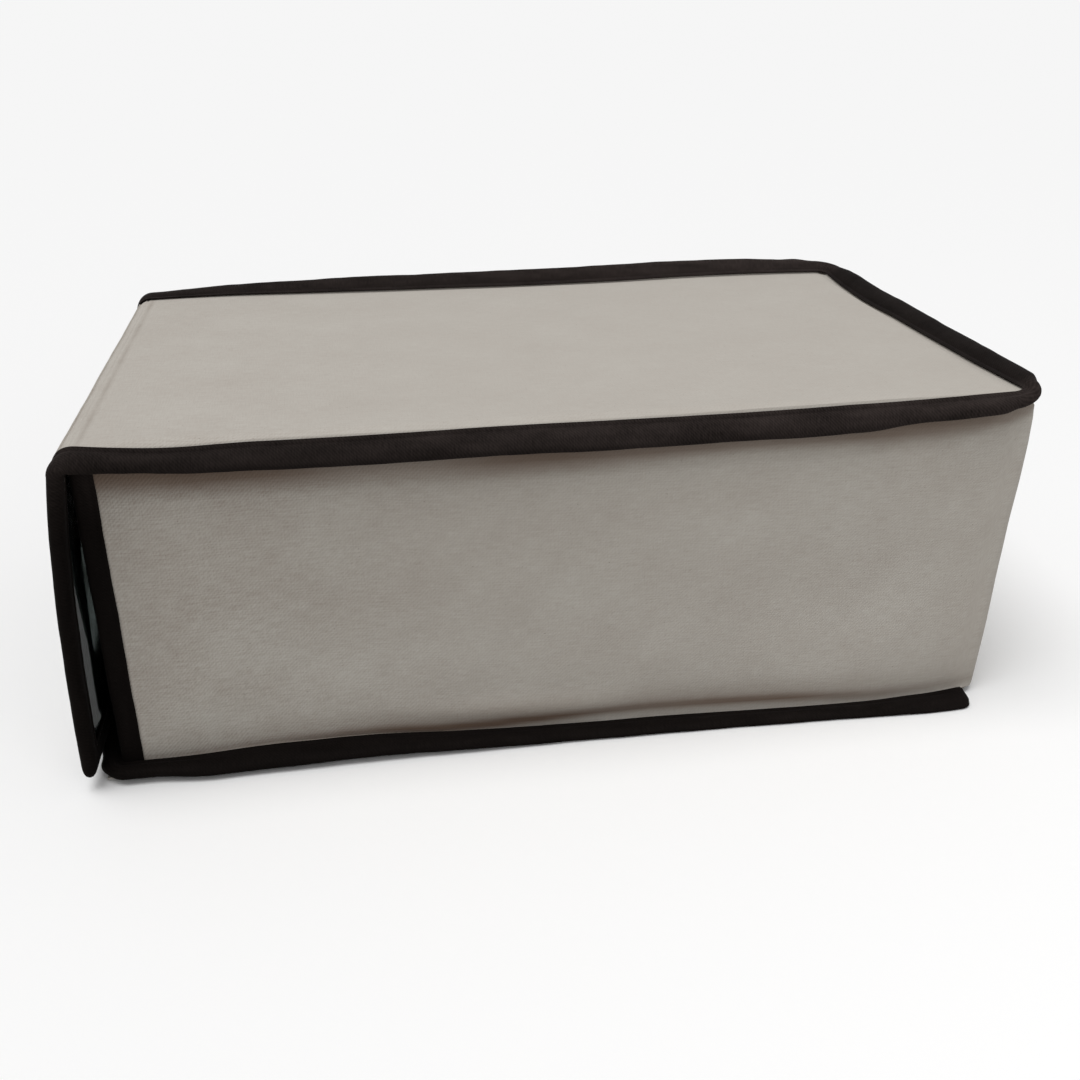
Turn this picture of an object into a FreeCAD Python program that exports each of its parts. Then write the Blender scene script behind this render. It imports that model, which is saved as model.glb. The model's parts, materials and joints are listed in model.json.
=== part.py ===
import FreeCAD, Part
import math
import os

# Drop-front shoe box: card boards between canvas and lining, every seam bound with dark tape.
# The top canvas runs on over a soft fold at the front and becomes a flap with a clear window.
# Millimetres, +Z up, the flap faces -X and the long side seen in the photograph faces -Y.
# While the pieces are built x = 0 is the fold line; at the end the origin moves under the middle.

# Overall sizes
length = 330.0            # top panel, from the fold line to the back seam
width = 190.0             # between the outer canvas faces of the long sides
height = 125.0            # from the bottom seam to the outer face of the top canvas

# Sheet goods
cloth = 0.6               # canvas
lining = 0.4              # smooth dark lining
tape = 0.8                # folded binding tape
board = 2.5               # card boards of the case
flap_board = 2.0          # card frame of the flap
window_sheet = 0.4        # clear vinyl

# Bound seams
seam_width = 10.5         # from the seam to the outer edge of the tape
leg_clearance = 0.3       # from the seam's root to the tape's inner edge
near_lean = 38.0          # degrees that the near top seam leans down
back_lean = 15.0          # degrees that the back top seam stands up
far_lean = 30.0           # degrees that the far top seam stands up
turn_length = 12.0        # length over which the top seams level out towards the fold
corner_lift = 12.0        # degrees that the tape stands up where it is pinched round a corner
corner_pinch = 0.2        # share of its width that the tape loses there
corner_steps = 6          # spans of the tape round one back corner
corner_radius = 6.0       # fold of the side canvas at the back corners
sill_corner_radius = 1.0  # turn of the bottom seam at the front corners
tape_end = 7.0            # the bottom tape stops this far before the back
tape_end_corner = 4.0     # outer corners of its two ends
front_leg = 6.8           # tape legs on the front edges of the side walls

# Boards inside the walls
board_setback = 2.0       # board edges stop this far inside the outer canvas
front_setback = 1.5       # boards stop this far behind the front edges
side_board_rise = 7.0     # canvas left bare between the bottom seam and the side boards
corner_clearance = 0.5    # side and back boards stop this far before the corner fold
loose = 0.1               # slack between a panel and what it drops in between

# Flap
fold_radius = 5.5         # outer face of the canvas where it rolls over the front
flap_gap = 0.5            # clearance to the bound edge of the sill when closed
floor_gap = 2.0           # height of the flap's lower edge above the ground
flap_corner = 6.0         # lower corners of the flap
frame_inset = 1.0         # card frame inside the canvas edge
window_border = 30.0      # from the flap's edge to the window
window_corner = 8.0       # corners of the window
trim_width = 8.0          # tape round the window

# Levels and places worked out from the sizes above
half_width = width / 2
seam_half = cloth + tape                          # half the thickness of a bound seam
bottom_seam = seam_half                           # the bound seam lies on the ground
top_face = bottom_seam + height
top_seam = top_face - cloth
board_floor = bottom_seam
lining_floor = board_floor + board
cavity_floor = lining_floor + lining
board_ceiling = top_seam - board
cavity_ceiling = board_ceiling - lining
wall = cloth + board + lining
reach = seam_width - tape                         # canvas inside the folded tape
leg_start = seam_half * math.tan(math.radians(near_lean)) + leg_clearance

fold_centre = FreeCAD.Vector(0, 0, top_face - fold_radius)
flap_half = half_width + seam_width
panel_thickness = cloth + flap_board + window_sheet
bound_thickness = panel_thickness + 2 * tape
outer_radius = fold_radius + tape                 # outer face of the tape about the fold's centre
inner_radius = outer_radius - bound_thickness     # inner face of the tape on the flap
edge_round = min(bound_thickness / 2 - loose, 2.6 * tape)
seam_round = seam_half * 0.9


def flap_lean():
    """Angle in degrees at which the closed flap hangs against the bound edge of the sill."""
    forward = seam_width - seam_half
    drop = fold_centre.z - bottom_seam
    face = inner_radius - seam_half - flap_gap
    return math.degrees(math.acos(face / math.hypot(forward, drop)) - math.atan2(drop, forward))


lean = flap_lean()
lean_sine = math.sin(math.radians(lean))
lean_cosine = math.cos(math.radians(lean))
inner_round_centre = inner_radius + edge_round
flap_length = edge_round + (
    fold_centre.z + inner_round_centre * lean_sine - edge_round - floor_gap
) / lean_cosine

canvas_x = -fold_radius                           # outer canvas face of the flap, hanging straight
frame_x = canvas_x + cloth
sheet_x = frame_x + flap_board
panel_back_x = sheet_x + window_sheet

front_reach = (
    (outer_radius - edge_round) * lean_cosine + (flap_length - edge_round) * lean_sine + edge_round
)
back_reach = length + seam_width
origin = FreeCAD.Vector((back_reach - front_reach) / 2, 0, 0)


# Shapes that several pieces share

def block(x_range, y_range, z_range):
    """Box between two x, two y and two z values."""
    corner = FreeCAD.Vector(x_range[0], y_range[0], z_range[0])
    return Part.makeBox(
        x_range[1] - x_range[0], y_range[1] - y_range[0], z_range[1] - z_range[0], corner
    )


def rounded_face(corners, radii):
    """Flat face through corner points, each rounded by its own radius, 0 for a sharp one."""
    edges = []
    starts = []
    ends = []
    count = len(corners)
    for index, corner in enumerate(corners):
        to_last = (corners[index - 1] - corner).normalize()
        to_next = (corners[(index + 1) % count] - corner).normalize()
        radius = radii[index]
        setback = radius / math.tan(to_last.getAngle(to_next) / 2)
        starts.append(corner + to_last * setback)
        ends.append(corner + to_next * setback)
        if radius > 0:
            middle = (to_last + to_next).normalize()
            centre_distance = math.hypot(radius, setback)
            crest = corner + middle * (centre_distance - radius)
            edges.append(Part.Arc(starts[index], crest, ends[index]).toShape())
    for index in range(count):
        following = starts[(index + 1) % count]
        if (following - ends[index]).Length > 1e-6:
            edges.append(Part.makeLine(ends[index], following))
    return Part.Face(Part.Wire(Part.__sortEdges__(edges)))


def panel(inset, z_range, front_x=0.0, front_radius=0.0):
    """Flat panel with the case's plan, drawn in by an inset, with rounded back corners."""
    back_x = length - inset
    side = half_width - inset
    back_radius = max(corner_radius - inset, 0)
    corners = [
        FreeCAD.Vector(front_x, -side, z_range[0]),
        FreeCAD.Vector(back_x, -side, z_range[0]),
        FreeCAD.Vector(back_x, side, z_range[0]),
        FreeCAD.Vector(front_x, side, z_range[0]),
    ]
    face = rounded_face(corners, [front_radius, back_radius, back_radius, front_radius])
    return face.extrude(FreeCAD.Vector(0, 0, z_range[1] - z_range[0]))


def wall_band(inset, thickness, z_range):
    """Upright band along the near side, the back and the far side, open at the front."""
    outside = panel(inset, z_range)
    inside = panel(inset + thickness, z_range, front_x=-thickness)
    return outside.cut(inside)


def is_upright(edge):
    """True for an edge that runs straight up."""
    box = edge.BoundBox
    return box.ZLength > loose and box.XLength < loose and box.YLength < loose


def is_round(edge):
    """True for an edge that is an arc."""
    return isinstance(edge.Curve, Part.Circle)


def on_side(side, shape):
    """Keeps a far-side piece, or mirrors it to the near side for a side of -1."""
    if side > 0:
        return shape
    return shape.mirror(FreeCAD.Vector(0, 0, 0), FreeCAD.Vector(0, 1, 0))


def across(section, y_range):
    """Solid from a closed list of (x, z) points, drawn out across the case."""
    points = [FreeCAD.Vector(x, y_range[0], z) for x, z in section]
    face = Part.Face(Part.makePolygon(points + points[:1]))
    return face.extrude(FreeCAD.Vector(0, y_range[1] - y_range[0], 0))


# Bound seams: sections are drawn outward from the seam's root as (out, up) pairs

class Station:
    """A place on a seam: its root, the way out, and the section's lean and width there."""

    def __init__(self, root, outward, degrees, seam=seam_width):
        self.root = root
        self.outward = outward
        self.along = (math.cos(math.radians(degrees)), math.sin(math.radians(degrees)))
        self.seam = seam

    def at(self, out, up):
        """Point of the leaning section in space."""
        flat = out * self.along[0] - up * self.along[1]
        rise = out * self.along[1] + up * self.along[0]
        return self.root + self.outward * flat + FreeCAD.Vector(0, 0, rise)


def tape_wire(station):
    """Section of the folded tape: two legs and a round outer edge, open towards the seam."""
    crest = station.seam - seam_half
    fold = station.seam - tape
    path = [
        station.at(crest, seam_half),
        station.at(leg_start, seam_half),
        station.at(leg_start, cloth),
        station.at(fold, cloth),
        station.at(fold, -cloth),
        station.at(leg_start, -cloth),
        station.at(leg_start, -seam_half),
        station.at(crest, -seam_half),
    ]
    edges = [Part.makeLine(first, second) for first, second in zip(path, path[1:])]
    edges.append(Part.Arc(path[-1], station.at(station.seam, 0), path[0]).toShape())
    return Part.Wire(edges)


def layer_wire(station, thickness):
    """Section of one cloth layer turned out inside the tape; a negative one lies below the seam."""
    root_rise = FreeCAD.Vector(0, 0, thickness / station.along[0])
    path = [
        station.root,
        station.root + root_rise,
        station.at(leg_start, thickness),
        station.at(reach, thickness),
        station.at(reach, 0),
    ]
    return Part.makePolygon(path + path[:1])


def drawn_out(wires, smooth=False):
    """Solid through a row of sections."""
    return Part.makeLoft(wires, True, not smooth)


def side_station(side, x, degrees, level):
    """Station on a long side: side is -1 for the near one and 1 for the far one."""
    root = FreeCAD.Vector(x, side * half_width, level)
    return Station(root, FreeCAD.Vector(0, side, 0), degrees)


def back_station(y, degrees, level):
    """Station on the back."""
    return Station(FreeCAD.Vector(length, y, level), FreeCAD.Vector(1, 0, 0), degrees)


def corner_stations(side, lean_on_side, lean_on_back, level):
    """Stations round a back corner, from the long side to the back, lifted and pinched midway."""
    centre = FreeCAD.Vector(length - corner_radius, side * (half_width - corner_radius), level)
    stations = []
    for step in range(corner_steps + 1):
        share = step / corner_steps
        angle = math.radians(90 * share)
        bulge = math.sin(2 * angle)
        outward = FreeCAD.Vector(math.sin(angle), side * math.cos(angle), 0)
        degrees = lean_on_side + (lean_on_back - lean_on_side) * share + corner_lift * bulge
        seam = seam_width * (1 - corner_pinch * bulge)
        stations.append(Station(centre + outward * corner_radius, outward, degrees, seam))
    return stations


straight_end = length - corner_radius
back_side = half_width - corner_radius
side_leans = {-1: -near_lean, 1: far_lean}


def top_layers(thickness):
    """Turned-out edges of one cloth along the near, far and back top seams."""
    solids = []
    for side, degrees in side_leans.items():
        places = [(0, 0), (turn_length, degrees), (straight_end, degrees)]
        wires = []
        for x, angle in places:
            wires.append(layer_wire(side_station(side, x, angle, top_seam), thickness))
        solids.append(drawn_out(wires[:2]))
        solids.append(drawn_out(wires[1:]))
    ends = [layer_wire(back_station(y, back_lean, top_seam), thickness) for y in (-back_side, back_side)]
    solids.append(drawn_out(ends))
    return solids


def bottom_layers(thickness):
    """Turned-out edges of one cloth along the near and far bottom seams."""
    solids = []
    for side in side_leans:
        places = (sill_corner_radius, length - tape_end - tape_end_corner)
        wires = [layer_wire(side_station(side, x, 0, bottom_seam), thickness) for x in places]
        solids.append(drawn_out(wires))
    return solids


# Case: boards

def top_board():
    return panel(board_setback, (board_ceiling, top_seam), front_x=front_setback)


def bottom_board():
    return panel(board_setback, (board_floor, lining_floor), front_x=front_setback)


wall_board_levels = (bottom_seam + side_board_rise, cavity_ceiling - loose)


def side_board(side):
    y_outer = side * (half_width - cloth)
    y_inner = side * (half_width - cloth - board)
    x_range = (front_setback, straight_end - corner_clearance)
    return block(x_range, (min(y_outer, y_inner), max(y_outer, y_inner)), wall_board_levels)


def back_board():
    half = back_side - corner_clearance
    return block((length - cloth - board, length - cloth), (-half, half), wall_board_levels)


# Case: canvas and lining

def top_cover():
    plate = panel(0, (top_seam, top_face))
    return plate.fuse(top_layers(cloth)).removeSplitter()


def side_wrap():
    band = wall_band(0, cloth, (bottom_seam, top_seam))
    edges = top_layers(-cloth) + bottom_layers(cloth)
    return band.fuse(edges).removeSplitter()


def bottom_cover():
    plate = panel(0, (bottom_seam - cloth, bottom_seam), front_radius=sill_corner_radius)
    sill_side = half_width - sill_corner_radius
    sill = block((-reach, 0), (-sill_side, sill_side), (bottom_seam - cloth, bottom_seam))
    return plate.fuse(bottom_layers(-cloth) + [sill]).removeSplitter()


def top_lining():
    """Lies under the top board and turns up over its front edge to meet the fold."""
    plate = panel(board_setback, (cavity_ceiling, board_ceiling), front_x=front_setback)
    side = half_width - board_setback
    lip = across(
        [
            (front_setback, cavity_ceiling),
            (front_setback, top_seam),
            (0, top_seam),
            (0, top_seam - lining),
            (front_setback - lining, top_seam - lining),
            (front_setback - lining, cavity_ceiling),
        ],
        (-side, side),
    )
    return plate.fuse(lip).removeSplitter()


def wall_lining():
    return wall_band(wall - lining, lining, (lining_floor + loose / 2, cavity_ceiling - loose / 2))


def bottom_lining():
    """Lies on the bottom board, drops over its front edge and runs out into the bound sill."""
    plate = panel(wall + loose, (lining_floor, cavity_floor), front_x=front_setback)
    side = half_width - wall - loose
    lip = across(
        [
            (front_setback, cavity_floor),
            (front_setback - lining, cavity_floor),
            (front_setback - lining, bottom_seam + lining),
            (-reach, bottom_seam + lining),
            (-reach, bottom_seam),
            (front_setback, bottom_seam),
        ],
        (-side, side),
    )
    return plate.fuse(lip).removeSplitter()


# Case: bindings

def top_binding():
    """One tape from the fold along the near side, round the back and along the far side."""
    runs = []
    for side, degrees in side_leans.items():
        places = [(0, 0), (turn_length, degrees), (straight_end, degrees)]
        wires = [tape_wire(side_station(side, x, angle, top_seam)) for x, angle in places]
        runs.append(drawn_out(wires[:2]))
        runs.append(drawn_out(wires[1:]))
        bend = [tape_wire(place) for place in corner_stations(side, degrees, back_lean, top_seam)]
        runs.append(drawn_out(bend, smooth=True))
    ends = [tape_wire(back_station(y, back_lean, top_seam)) for y in (-back_side, back_side)]
    runs.append(drawn_out(ends))
    return runs[0].fuse(runs[1:])


def bottom_plate(offset, z_range, back_x, back_radius=0.0):
    """Slab with the bottom seam's plan, grown outward by an offset at the front and both sides."""
    side = half_width + offset
    corners = [
        FreeCAD.Vector(-offset, -side, z_range[0]),
        FreeCAD.Vector(back_x, -side, z_range[0]),
        FreeCAD.Vector(back_x, side, z_range[0]),
        FreeCAD.Vector(-offset, side, z_range[0]),
    ]
    front_radius = sill_corner_radius + offset
    face = rounded_face(corners, [front_radius, back_radius, back_radius, front_radius])
    return face.extrude(FreeCAD.Vector(0, 0, z_range[1] - z_range[0]))


def bottom_binding():
    """One tape along the near side, the front and the far side, flat on the ground."""
    levels = (0, 2 * seam_half)
    back_x = length - tape_end
    slab = bottom_plate(seam_width, levels, back_x, tape_end_corner)
    rim = [edge for edge in slab.Edges if edge.BoundBox.ZLength < loose]
    band = slab.makeFillet(seam_round, rim)
    slot_levels = (bottom_seam - cloth, bottom_seam + cloth)
    slot = bottom_plate(reach, slot_levels, back_x - tape, tape_end_corner - tape)
    return band.cut([bottom_plate(leg_start, levels, length), slot])


def front_binding(side):
    """Tape folded round the front edge of a side wall, clear of the floor's and top's linings."""
    leg_inner = half_width - wall - tape
    lining_face = half_width - wall
    levels = (2 * seam_half + loose, top_seam - seam_half - 2 * leg_clearance)
    channel = block((-tape, front_leg), (leg_inner, half_width + tape), levels)
    front_edges = [edge for edge in channel.Edges if edge.BoundBox.XMax < 0 and is_upright(edge)]
    channel = channel.makeFillet(tape * 0.9, front_edges)
    inside = [
        block((0, front_leg + tape), (lining_face, half_width), levels),
        block((-tape, front_leg), (leg_inner, lining_face), (0, cavity_floor + loose)),
        block((-tape, front_leg), (leg_inner, lining_face), (cavity_ceiling - loose, top_face)),
    ]
    return on_side(side, channel.cut(inside))


# Fold: the canvas and lining that roll over the front and carry the flap

def rolled(radius_range, y_range):
    """Band rolled round the fold's centre from the top panel to the top of the flap."""
    low = fold_centre.z + radius_range[0]
    high = fold_centre.z + radius_range[1]
    points = [
        FreeCAD.Vector(0, y_range[0], low),
        FreeCAD.Vector(0, y_range[1], low),
        FreeCAD.Vector(0, y_range[1], high),
        FreeCAD.Vector(0, y_range[0], high),
    ]
    face = Part.Face(Part.makePolygon(points + points[:1]))
    return face.revolve(fold_centre, FreeCAD.Vector(0, -1, 0), 90 - lean)


fold_side = half_width + reach


def fold_canvas():
    return rolled((fold_radius - cloth, fold_radius), (-fold_side, fold_side))


def fold_lining():
    canvas_inside = fold_radius - cloth
    return rolled((canvas_inside - lining, canvas_inside), (-fold_side, fold_side))


def fold_binding(side):
    """Tape round the side edge of the rolled canvas and lining."""
    lining_inside = fold_radius - cloth - lining
    y_range = (half_width + leg_start, flap_half)
    band = rolled((lining_inside - tape, fold_radius + tape), y_range)
    outer_edges = [edge for edge in band.Edges if edge.BoundBox.YMin > flap_half - loose and is_round(edge)]
    band = band.makeFillet((cloth + lining) / 2 + tape * 0.9, outer_edges)
    slot = rolled((lining_inside, fold_radius), (half_width, fold_side))
    return on_side(side, band.cut(slot))


# Flap: built hanging straight down from the fold's centre, then swung out by its lean

def flap_slab(inset, x_range, drop=0.0):
    """Slab with the flap's outline drawn in by an inset, its top edge lowered by a drop."""
    half = flap_half - inset
    top = fold_centre.z - drop
    bottom = fold_centre.z - flap_length + inset
    radius = max(flap_corner - inset, 0)
    corners = [
        FreeCAD.Vector(x_range[0], -half, top),
        FreeCAD.Vector(x_range[0], -half, bottom),
        FreeCAD.Vector(x_range[0], half, bottom),
        FreeCAD.Vector(x_range[0], half, top),
    ]
    face = rounded_face(corners, [0, radius, radius, 0])
    return face.extrude(FreeCAD.Vector(x_range[1] - x_range[0], 0, 0))


def window_slab(growth, x_range):
    """Slab with the window's outline grown outward all round."""
    half = flap_half - window_border + growth
    top = fold_centre.z - window_border + growth
    bottom = fold_centre.z - flap_length + window_border - growth
    corners = [
        FreeCAD.Vector(x_range[0], -half, bottom),
        FreeCAD.Vector(x_range[0], half, bottom),
        FreeCAD.Vector(x_range[0], half, top),
        FreeCAD.Vector(x_range[0], -half, top),
    ]
    face = rounded_face(corners, [window_corner + growth] * 4)
    return face.extrude(FreeCAD.Vector(x_range[1] - x_range[0], 0, 0))


def hung(shape):
    """Swings a straight flap piece about the fold's centre to where it hangs when closed."""
    shape.rotate(fold_centre, FreeCAD.Vector(0, 1, 0), lean)
    return shape


def flap_cover():
    x_range = (canvas_x, frame_x)
    return hung(flap_slab(tape, x_range).cut(window_slab(tape, x_range)))


def flap_frame():
    x_range = (frame_x, sheet_x)
    frame = flap_slab(tape + frame_inset, x_range, drop=front_setback)
    return hung(frame.cut(window_slab(tape, x_range)))


def flap_window():
    return hung(flap_slab(tape, (sheet_x, panel_back_x)))


def window_trim():
    """Tape on the canvas round the window, turned in over the cut edges of canvas and card."""
    face_range = (canvas_x - tape, canvas_x)
    edge_range = (canvas_x, sheet_x)
    collar = window_slab(trim_width, face_range).cut(window_slab(0, face_range))
    turned_in = window_slab(tape, edge_range).cut(window_slab(0, edge_range))
    return hung(collar.fuse(turned_in).removeSplitter())


def flap_binding():
    """One tape down the near edge of the flap, along its bottom and up the far edge."""
    x_range = (canvas_x - tape, panel_back_x + tape)
    slab = flap_slab(0, x_range)
    top = fold_centre.z - loose
    rim = [edge for edge in slab.Edges if edge.BoundBox.XLength < loose and edge.BoundBox.ZMin < top]
    band = slab.makeFillet(edge_round, rim)
    middle = flap_slab(seam_width - leg_start, x_range)
    return hung(band.cut([flap_slab(tape, (canvas_x, panel_back_x)), middle]))


pieces = {
    "top_board": top_board(),
    "bottom_board": bottom_board(),
    "near_side_board": side_board(-1),
    "far_side_board": side_board(1),
    "back_board": back_board(),
    "top_cover": top_cover(),
    "side_wrap": side_wrap(),
    "bottom_cover": bottom_cover(),
    "top_lining": top_lining(),
    "wall_lining": wall_lining(),
    "bottom_lining": bottom_lining(),
    "top_binding": top_binding(),
    "bottom_binding": bottom_binding(),
    "front_near_binding": front_binding(-1),
    "front_far_binding": front_binding(1),
    "fold_canvas": fold_canvas(),
    "fold_lining": fold_lining(),
    "fold_near_binding": fold_binding(-1),
    "fold_far_binding": fold_binding(1),
    "flap_cover": flap_cover(),
    "flap_frame": flap_frame(),
    "flap_window": flap_window(),
    "window_trim": window_trim(),
    "flap_binding": flap_binding(),
}

os.makedirs("parts", exist_ok=True)
for node, shape in pieces.items():
    shape.translate(-origin)
    shape.exportStep("parts/" + node + ".step")
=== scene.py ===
import json
import math

import bpy
import numpy as np
from mathutils import Matrix, Vector


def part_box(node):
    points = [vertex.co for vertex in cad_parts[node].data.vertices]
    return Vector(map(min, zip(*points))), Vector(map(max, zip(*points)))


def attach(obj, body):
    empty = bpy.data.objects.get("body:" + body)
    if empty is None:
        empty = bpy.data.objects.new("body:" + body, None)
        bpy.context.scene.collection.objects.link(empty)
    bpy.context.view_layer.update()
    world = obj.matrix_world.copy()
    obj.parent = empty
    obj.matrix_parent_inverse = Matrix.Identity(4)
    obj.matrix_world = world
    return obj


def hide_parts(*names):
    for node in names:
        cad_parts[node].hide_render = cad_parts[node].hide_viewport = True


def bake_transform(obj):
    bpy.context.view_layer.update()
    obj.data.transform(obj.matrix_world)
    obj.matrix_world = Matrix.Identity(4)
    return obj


bl_info = {
    "name": "Drop-front shoe box",
    "version": (1, 0, 0),
    "blender": (4, 5, 0),
    "location": "3D View > Sidebar > Shoe box",
    "description": "Canvas shoe box with bound seams and a windowed flap that folds over its front",
    "category": "Object",
}

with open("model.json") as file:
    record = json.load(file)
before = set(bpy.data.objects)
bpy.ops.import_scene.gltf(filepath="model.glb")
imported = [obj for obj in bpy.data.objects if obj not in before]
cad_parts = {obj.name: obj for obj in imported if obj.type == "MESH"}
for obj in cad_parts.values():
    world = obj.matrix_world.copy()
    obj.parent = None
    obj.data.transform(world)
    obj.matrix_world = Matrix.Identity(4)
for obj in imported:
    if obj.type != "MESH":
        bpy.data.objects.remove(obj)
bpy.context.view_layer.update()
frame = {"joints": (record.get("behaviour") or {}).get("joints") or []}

# Inside this script lengths are millimetres, x = 0 is the fold line at the front of the top panel,
# y = 0 is the middle of the box and z = 0 is the ground. Meshes are written in metres.
MM = 1000


def node_end(node, side, axis):
    """Lowest (side 0) or highest (side 1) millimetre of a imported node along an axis."""
    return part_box(node)[side][axis] * MM


creases = {joint["name"]: Vector(joint["pos_m"]) * MM for joint in frame["joints"]}
upper_crease = creases["upper_crease"]
lower_crease = creases["lower_crease"]
FOLD_LINE = upper_crease.x
crease_step = upper_crease - lower_crease
ROLL_OUTER = (crease_step.x ** 2 + crease_step.z ** 2) / (2 * crease_step.z)
FLAP_LEAN = math.asin((ROLL_OUTER - crease_step.z) / ROLL_OUTER)
ROLL_HEIGHT = upper_crease.z - ROLL_OUTER

CLOTH = 0.6
LINING = 0.4
BOARD = 2.5
VINYL = 0.35
TAPE = 0.8           # what the tape adds to the roll's radius
TAPE_CLOTH = 0.55    # thickness of the tape's own cloth
PRESSED_TAPE = 0.5   # and where it is pressed flat, on the front edges and the flap
FLANGE = 4.5         # canvas turned out into the seams
STITCH_LINE = 2.5    # how far out from a seam's root its stitches run
STITCH_HEIGHT = 0.98 # and how far they are from the middle of the tape
BOARD_FRONT_GAP = 2.0
BOARD_BACK_GAP = 6.5 # room for the top canvas where it bends into its back seam
WALL = CLOTH + BOARD + LINING
TOP_SEAM = node_end("top_board", 1, 2)
TOP_FACE = TOP_SEAM + CLOTH
BOTTOM_SEAM = node_end("bottom_board", 0, 2)
HALF_WIDTH = node_end("far_side_board", 1, 1) + CLOTH
LENGTH = node_end("back_board", 1, 0) - FOLD_LINE + CLOTH
SEAM_WIDTH = node_end("flap_binding", 1, 1) - HALF_WIDTH
CANVAS_ROLL = ROLL_OUTER - TAPE
CORNER = 6.0
TOP_CORNER = 3.5
TAPE_END = 7.0
ROLL_START = 2.0     # the cloth leaves the flat top this far behind the fold line
ROLL_SINK = 1.5      # and lands on the flap this far below the roll's middle
ROLL_SLACK = 0.9     # it lies this much tighter than a full quarter circle
HANG = FLAP_LEAN - math.radians(0.85)
FLAP_LENGTH = (ROLL_HEIGHT - ROLL_SINK - 5.2) / math.cos(HANG)


# Settings that a user would change

class CanvasSettings(bpy.types.PropertyGroup):
    light: bpy.props.StringProperty(
        name="Canvas", description="sRGB colour of the canvas threads", default="#C3BFB7")
    dark: bpy.props.StringProperty(
        name="Canvas hollows", description="sRGB colour between the threads", default="#A59B92")
    twill: bpy.props.FloatProperty(
        name="Twill line", description="Distance between two diagonal lines of the canvas, in millimetres",
        default=1.1, min=0.3, max=5)
    bow: bpy.props.FloatProperty(
        name="Bow", description="How far the side canvas stands proud between its seams, in millimetres",
        default=0.7, min=0, max=4)


class TapeSettings(bpy.types.PropertyGroup):
    light: bpy.props.StringProperty(
        name="Tape", description="sRGB colour of the tape's threads", default="#393230")
    dark: bpy.props.StringProperty(
        name="Tape hollows", description="sRGB colour between the threads", default="#0B0908")
    twill: bpy.props.FloatProperty(
        name="Twill line", description="Distance between two diagonal lines of the tape, in millimetres",
        default=0.9, min=0.3, max=5)
    roll: bpy.props.FloatProperty(
        name="Roll", description="Half the thickness of the padded outer edge, in millimetres",
        default=1.9, min=1, max=4)
    stitch: bpy.props.FloatProperty(
        name="Stitch", description="Length of one stitch, in millimetres", default=2.6, min=1, max=8)


class FlapSettings(bpy.types.PropertyGroup):
    border: bpy.props.FloatProperty(
        name="Border", description="Canvas between the flap's edge and the window, in millimetres",
        default=30, min=15, max=60)
    window_corner: bpy.props.FloatProperty(
        name="Window corner", description="Radius of the window's corners, in millimetres",
        default=8, min=1, max=30)
    trim: bpy.props.FloatProperty(
        name="Trim", description="Width of the tape round the window, in millimetres",
        default=8, min=3, max=20)
    bow: bpy.props.FloatProperty(
        name="Bow", description="How far the closed flap bows outward, in millimetres",
        default=1.9, min=0, max=4)


class StudioSettings(bpy.types.PropertyGroup):
    key: bpy.props.FloatProperty(
        name="Key lamp", description="Strength of the soft lamp above the box", default=1.8, min=0)
    sky: bpy.props.FloatProperty(
        name="Room light", description="Strength of the even light from all round", default=0.37, min=0)
    side: bpy.props.FloatProperty(
        name="Side lamp", description="Power of the lamp beside the camera, in watts", default=0.8, min=0)
    floor: bpy.props.StringProperty(
        name="Floor", description="sRGB colour of the floor", default="#C4C3C1")


def settings(group):
    """The user's values of one group."""
    return getattr(bpy.context.scene, "shoe_box_" + group)


# Smooth curves and cloth grids

def ease(value, low, high):
    """0 below low, 1 above high, and a smooth step between."""
    share = np.clip((np.asarray(value, float) - low) / (high - low), 0, 1)
    return share * share * (3 - 2 * share)


def hump(value, middle, half):
    """1 at the middle, falling smoothly to 0 half a width away."""
    share = np.clip(np.abs(np.asarray(value, float) - middle) / half, 0, 1)
    return (1 + np.cos(np.pi * share)) / 2


def ripple(value, longest, phase):
    """Slow irregular wave of height about 1, the same on every run."""
    value = np.asarray(value, float)
    first = np.sin(math.tau * value / longest + phase)
    second = np.sin(math.tau * value / (longest * 0.43) + 2.1 * phase + 1)
    third = np.sin(math.tau * value / (longest * 0.19) + 3.7 * phase + 2)
    return 0.55 * first + 0.3 * second + 0.15 * third


def through(places, values, at):
    """Smooth curve through given values, read at any places."""
    places = np.asarray(places, float)
    values = np.asarray(values, float)
    slopes = np.gradient(values, places)
    at = np.clip(at, places[0], places[-1])
    index = np.clip(np.searchsorted(places, at, side="right") - 1, 0, len(places) - 2)
    span = places[index + 1] - places[index]
    share = (at - places[index]) / span
    start = values[index] + span * slopes[index] * share
    end = values[index + 1] - span * slopes[index + 1] * (1 - share)
    blend = share * share * (3 - 2 * share)
    return start * (1 - blend) + end * blend


def deselect_all():
    """Leaves edit mode and selects nothing."""
    if bpy.context.object and bpy.context.object.mode != "OBJECT":
        bpy.ops.object.mode_set(mode="OBJECT")
    bpy.ops.object.select_all(action="DESELECT")


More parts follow.
